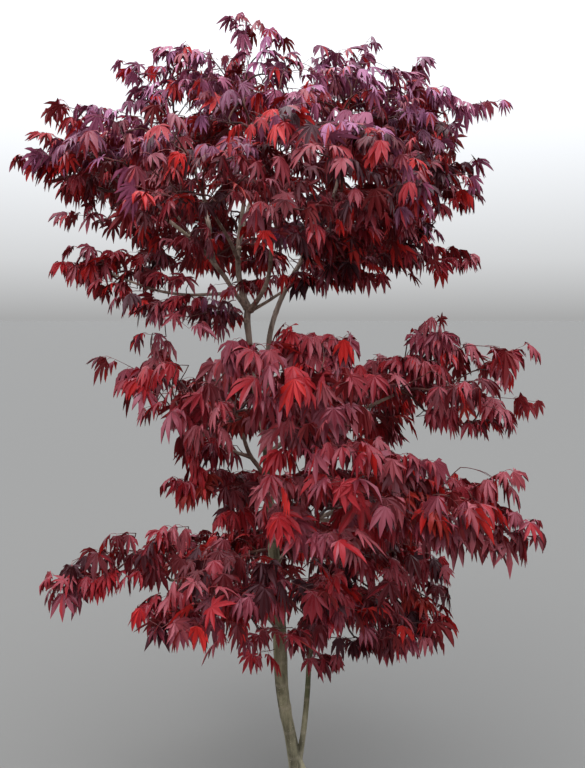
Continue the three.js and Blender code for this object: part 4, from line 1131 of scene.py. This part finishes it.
class Nodes:
    """A short way to write a material's nodes."""

    def __init__(self, name):
        self.mat = bpy.data.materials.new(name)
        self.mat.use_nodes = True
        self.t = self.mat.node_tree
        self.shader = self.t.nodes["Principled BSDF"]
        self.coord = self.t.nodes.new("ShaderNodeTexCoord").outputs["Object"]

    def link(self, a, b):
        self.t.links.new(a, b)

    def mapping(self, scale, location=(0, 0, 0)):
        n = self.t.nodes.new("ShaderNodeMapping")
        n.inputs["Scale"].default_value = scale
        n.inputs["Location"].default_value = location
        self.link(self.coord, n.inputs["Vector"])
        return n.outputs["Vector"]

    def noise(self, scale, stretch=(1, 1, 1), detail=4.0, rough=0.55, offset=(0, 0, 0), distortion=0.0):
        n = self.t.nodes.new("ShaderNodeTexNoise")
        n.inputs["Scale"].default_value = scale
        n.inputs["Detail"].default_value = detail
        n.inputs["Roughness"].default_value = rough
        n.inputs["Distortion"].default_value = distortion
        self.link(self.mapping(stretch, offset), n.inputs["Vector"])
        return n.outputs["Fac"]

    def ramp(self, fac, stops):
        n = self.t.nodes.new("ShaderNodeValToRGB")
        e = n.color_ramp.elements
        while len(e) < len(stops):
            e.new(0.5)
        for item, (at, value) in zip(e, stops):
            item.position = at
            item.color = linear(value) if isinstance(value, tuple) else (value, value, value, 1)
        self.link(fac, n.inputs["Fac"])
        return n.outputs["Color"]

    def mix(self, fac, a, b, kind="MIX"):
        n = self.t.nodes.new("ShaderNodeMix")
        n.data_type = "RGBA"
        n.blend_type = kind
        sockets = [s for s in n.inputs if s.enabled]
        for socket, value in zip(sockets, (fac, a, b)):
            if isinstance(value, (int, float)):
                socket.default_value = value
            elif isinstance(value, tuple):
                socket.default_value = linear(value)
            else:
                self.link(value, socket)
        return [s for s in n.outputs if s.enabled][0]

    def math(self, kind, a, b=None, clamp=False):
        n = self.t.nodes.new("ShaderNodeMath")
        n.operation = kind
        n.use_clamp = clamp
        for socket, value in zip(n.inputs, (a, b)):
            if value is None:
                continue
            if isinstance(value, (int, float)):
                socket.default_value = value
            else:
                self.link(value, socket)
        return n.outputs[0]

    def height(self):
        n = self.t.nodes.new("ShaderNodeSeparateXYZ")
        self.link(self.coord, n.inputs[0])
        return n.outputs["Z"]

    def attribute(self, name):
        n = self.t.nodes.new("ShaderNodeAttribute")
        n.attribute_name = name
        return n.outputs["Fac"]

    def bump(self, height, distance, strength=0.6):
        n = self.t.nodes.new("ShaderNodeBump")
        n.inputs["Strength"].default_value = strength
        n.inputs["Distance"].default_value = distance
        self.link(height, n.inputs["Height"])
        self.link(n.outputs["Normal"], self.shader.inputs["Normal"])


def bark_trunk_material():
    n = Nodes("bark_trunk")
    streak = n.noise(46, (1, 1, 0.10), 6, 0.62)
    patch = n.noise(15, (1, 1, 0.45), 4, 0.55, (3, 1, 2), 0.6)
    grain = n.noise(330, (1, 1, 0.30), 4, 0.6, (7, 2, 4))
    olive = n.ramp(patch, [(0.30, (72, 66, 48)), (0.46, (104, 97, 74)), (0.60, (134, 125, 101)), (0.75, (94, 96, 62))])
    dark = n.ramp(streak, [(0.38, 0.38), (0.52, 0.95), (0.68, 1.22)])
    upper = n.mix(1.0, olive, dark, "MULTIPLY")
    green = n.ramp(n.noise(9, (1, 1, 0.5), 3, 0.5, (11, 5, 9)), [(0.50, 0.0), (0.66, 0.55)])
    upper = n.mix(green, upper, (104, 108, 70))
    # The old bark of the foot is a little paler and greyer.
    old = n.mix(1.0, n.ramp(patch, [(0.30, (104, 99, 78)), (0.52, (144, 137, 114)), (0.75, (126, 124, 98))]), dark, "MULTIPLY")
    z = n.math("ADD", n.height(), n.math("MULTIPLY", n.math("SUBTRACT", n.noise(26, (1, 1, 0.7), 3, 0.5, (1, 4, 6)), 0.5), 0.08))
    colour = n.mix(n.math("MULTIPLY", n.math("SUBTRACT", z, 0.04), 4.5, True), old, upper)
    # Young wood higher up is greyer and redder.
    high = n.math("MULTIPLY", n.math("SUBTRACT", n.height(), 1.05), 2.4, True)
    colour = n.mix(high, colour, n.mix(1.0, n.ramp(patch, [(0.32, (118, 94, 82)), (0.52, (158, 138, 124)), (0.64, (176, 158, 146)), (0.76, (132, 124, 92))]), dark, "MULTIPLY"))
    spots = n.ramp(n.noise(120, (1, 1, 2.2), 2, 0.5, (9, 9, 3)), [(0.66, 0.0), (0.71, 0.75)])
    colour = n.mix(spots, colour, (158, 148, 130))
    ring = n.math("MULTIPLY", n.attribute("ring"), 0.45)
    colour = n.mix(ring, colour, (150, 138, 122))
    fleck = n.ramp(grain, [(0.30, 0.78), (0.55, 1.0), (0.8, 1.12)])
    colour = n.mix(1.0, colour, fleck, "MULTIPLY")
    n.link(colour, n.shader.inputs["Base Color"])
    rough = n.ramp(streak, [(0.3, 0.92), (0.7, 0.66)])
    n.link(rough, n.shader.inputs["Roughness"])
    relief = n.math("ADD", n.math("MULTIPLY", streak, 0.7), n.math("MULTIPLY", grain, 0.35))
    n.bump(relief, 0.0016, 0.7)
    n.shader.inputs["Specular IOR Level"].default_value = 0.3
    return n.mat


def bark_bough_material():
    n = Nodes("bark_bough")
    streak = n.noise(90, (1, 1, 1), 5, 0.6)
    patch = n.noise(16, (1, 1, 1), 4, 0.55, (3, 1, 2), 0.4)
    colour = n.ramp(patch, [(0.28, (86, 60, 52)), (0.44, (124, 99, 86)), (0.58, (154, 133, 119)), (0.74, (110, 105, 76))])
    dark = n.ramp(streak, [(0.34, 0.55), (0.52, 1.0), (0.70, 1.15)])
    colour = n.mix(1.0, colour, dark, "MULTIPLY")
    spots = n.ramp(n.noise(210, (1, 1, 1), 2, 0.5, (9, 9, 3)), [(0.67, 0.0), (0.73, 0.8)])
    colour = n.mix(spots, colour, (170, 152, 136))
    ring = n.math("MULTIPLY", n.attribute("ring"), 0.65)
    colour = n.mix(ring, colour, (158, 136, 120))
    n.link(colour, n.shader.inputs["Base Color"])
    rough = n.ramp(streak, [(0.3, 0.85), (0.7, 0.55)])
    n.link(rough, n.shader.inputs["Roughness"])
    n.bump(streak, 0.0012, 0.6)
    n.shader.inputs["Specular IOR Level"].default_value = 0.35
    return n.mat


def twig_material():
    n = Nodes("twig")
    patch = n.noise(26, (1, 1, 1), 3, 0.5)
    colour = n.ramp(patch, [(0.32, (48, 22, 22)), (0.50, (82, 40, 36)), (0.66, (104, 66, 54))])
    n.link(colour, n.shader.inputs["Base Color"])
    n.shader.inputs["Roughness"].default_value = 0.6
    n.shader.inputs["Specular IOR Level"].default_value = 0.35
    return n.mat


# ------------------------------------------------------------------- the pieces
MASS_NAMES = [m["name"] for m in MASSES]
STEMS = [k for k, l in enumerate(LIMBS) if l["name"] in ("trunk", "second_stem", "right_stem", "leader", "stem_pale")]

trunk_bark = bark_trunk_material()
bough_bark = bark_bough_material()
wood = Heap()
for k in STEMS:
    limb_mesh(wood, LIMBS[k], k)
piece = wood.mesh("trunk_and_stems", trunk_bark, attribute="ring")
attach(piece, "root")
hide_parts(*[LIMBS[k]["name"] for k in STEMS])
count = wood.triangles()

wood = Heap()
rest = [k for k in range(len(LIMBS)) if k not in STEMS]
for k in rest:
    limb_mesh(wood, LIMBS[k], k)
piece = wood.mesh("boughs", bough_bark, attribute="ring")
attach(piece, "root")
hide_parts(*[LIMBS[k]["name"] for k in rest])
count += wood.triangles()

piece = twig_wood.mesh("twigs", twig_material())
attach(piece, "root")
count += twig_wood.triangles()

piece = fine_wood.mesh("shoots", plain_material("shoot", (92, 34, 36), 0.5))
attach(piece, "root")
count += fine_wood.triangles()

stalks = stalk_heap()
piece = stalks.mesh("leaf_stalks", plain_material("stalk", (132, 40, 44), 0.45))
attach(piece, "root")
count += stalks.triangles()

for t, (name, rgb) in enumerate(TONES):
    heap = leaf_heap(t, False)
    piece = heap.mesh("leaves_" + name, leaf_material(name, rgb))
    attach(piece, "root")
    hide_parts(*MASS_NAMES)
    count += heap.triangles()
    print("piece", name, heap.triangles())
back_parts = 2  # the commonest one is dealt into several pieces
back_of = np.where(back_of == 0, lrng.integers(0, back_parts, total), back_of + back_parts - 1)
for t in range(back_parts + len(BACKS) - 1):
    name, rgb = BACKS[max(0, t - back_parts + 1)]
    heap = leaf_heap(t, True)
    piece = heap.mesh("leaf_backs_%s_%d" % (name, t + 1), plain_material("leaf_back_" + name, rgb, 0.55, 0.3))
    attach(piece, "root")
    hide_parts(*MASS_NAMES)
    count += heap.triangles()
    print("piece backs", name, heap.triangles())
print("triangles in all", count)

# ------------------------------------------------------------ floor and light
floor_mesh = bpy.data.meshes.new("floor")
floor_mesh.from_pydata([(-400, -400, 0), (400, -400, 0), (400, 400, 0), (-400, 400, 0)], [], [(0, 1, 2, 3)])
floor = bpy.data.objects.new("floor", floor_mesh)
bpy.context.scene.collection.objects.link(floor)
floor.data.materials.append(plain_material("floor", (112, 111, 108), 0.9, 0.1))

# Soft light from all over the sky, brighter overhead.
world = bpy.data.worlds.new("world")
bpy.context.scene.world = world
world.use_nodes = True
wt = world.node_tree
background = wt.nodes["Background"]
place = wt.nodes.new("ShaderNodeTexCoord").outputs["Generated"]
parts = wt.nodes.new("ShaderNodeSeparateXYZ")
wt.links.new(place, parts.inputs[0])
sky = wt.nodes.new("ShaderNodeValToRGB")
sky.color_ramp.elements[0].position = 0.0
sky.color_ramp.elements[0].color = (0.398, 0.400, 0.400, 1)
sky.color_ramp.elements[1].position = 1.0
sky.color_ramp.elements[1].color = (3.1, 3.2, 3.4, 1)
sky.color_ramp.elements.new(0.07).color = (0.66, 0.67, 0.68, 1)
sky.color_ramp.elements.new(0.25).color = (1.08, 1.11, 1.15, 1)
wt.links.new(parts.outputs["Z"], sky.inputs["Fac"])
wt.links.new(sky.outputs["Color"], background.inputs["Color"])
background.inputs["Strength"].default_value = 1.0


def area(name, place, aim, side, power, colour=(1, 1, 1)):
    data = bpy.data.lights.new(name, "AREA")
    data.shape = "DISK"
    data.size = side
    data.energy = power
    data.color = colour
    ob = bpy.data.objects.new(name, data)
    ob.location = place
    ob.rotation_euler = (Vector(aim) - Vector(place)).to_track_quat("-Z", "Y").to_euler()
    bpy.context.scene.collection.objects.link(ob)


area("key", (-1.7, -2.2, 5.6), (0.0, 0.0, 1.3), 2.4, 62, (1.0, 0.98, 0.96))

scene = bpy.context.scene
scene.view_settings.view_transform = "Standard"
scene.view_settings.look = "None"
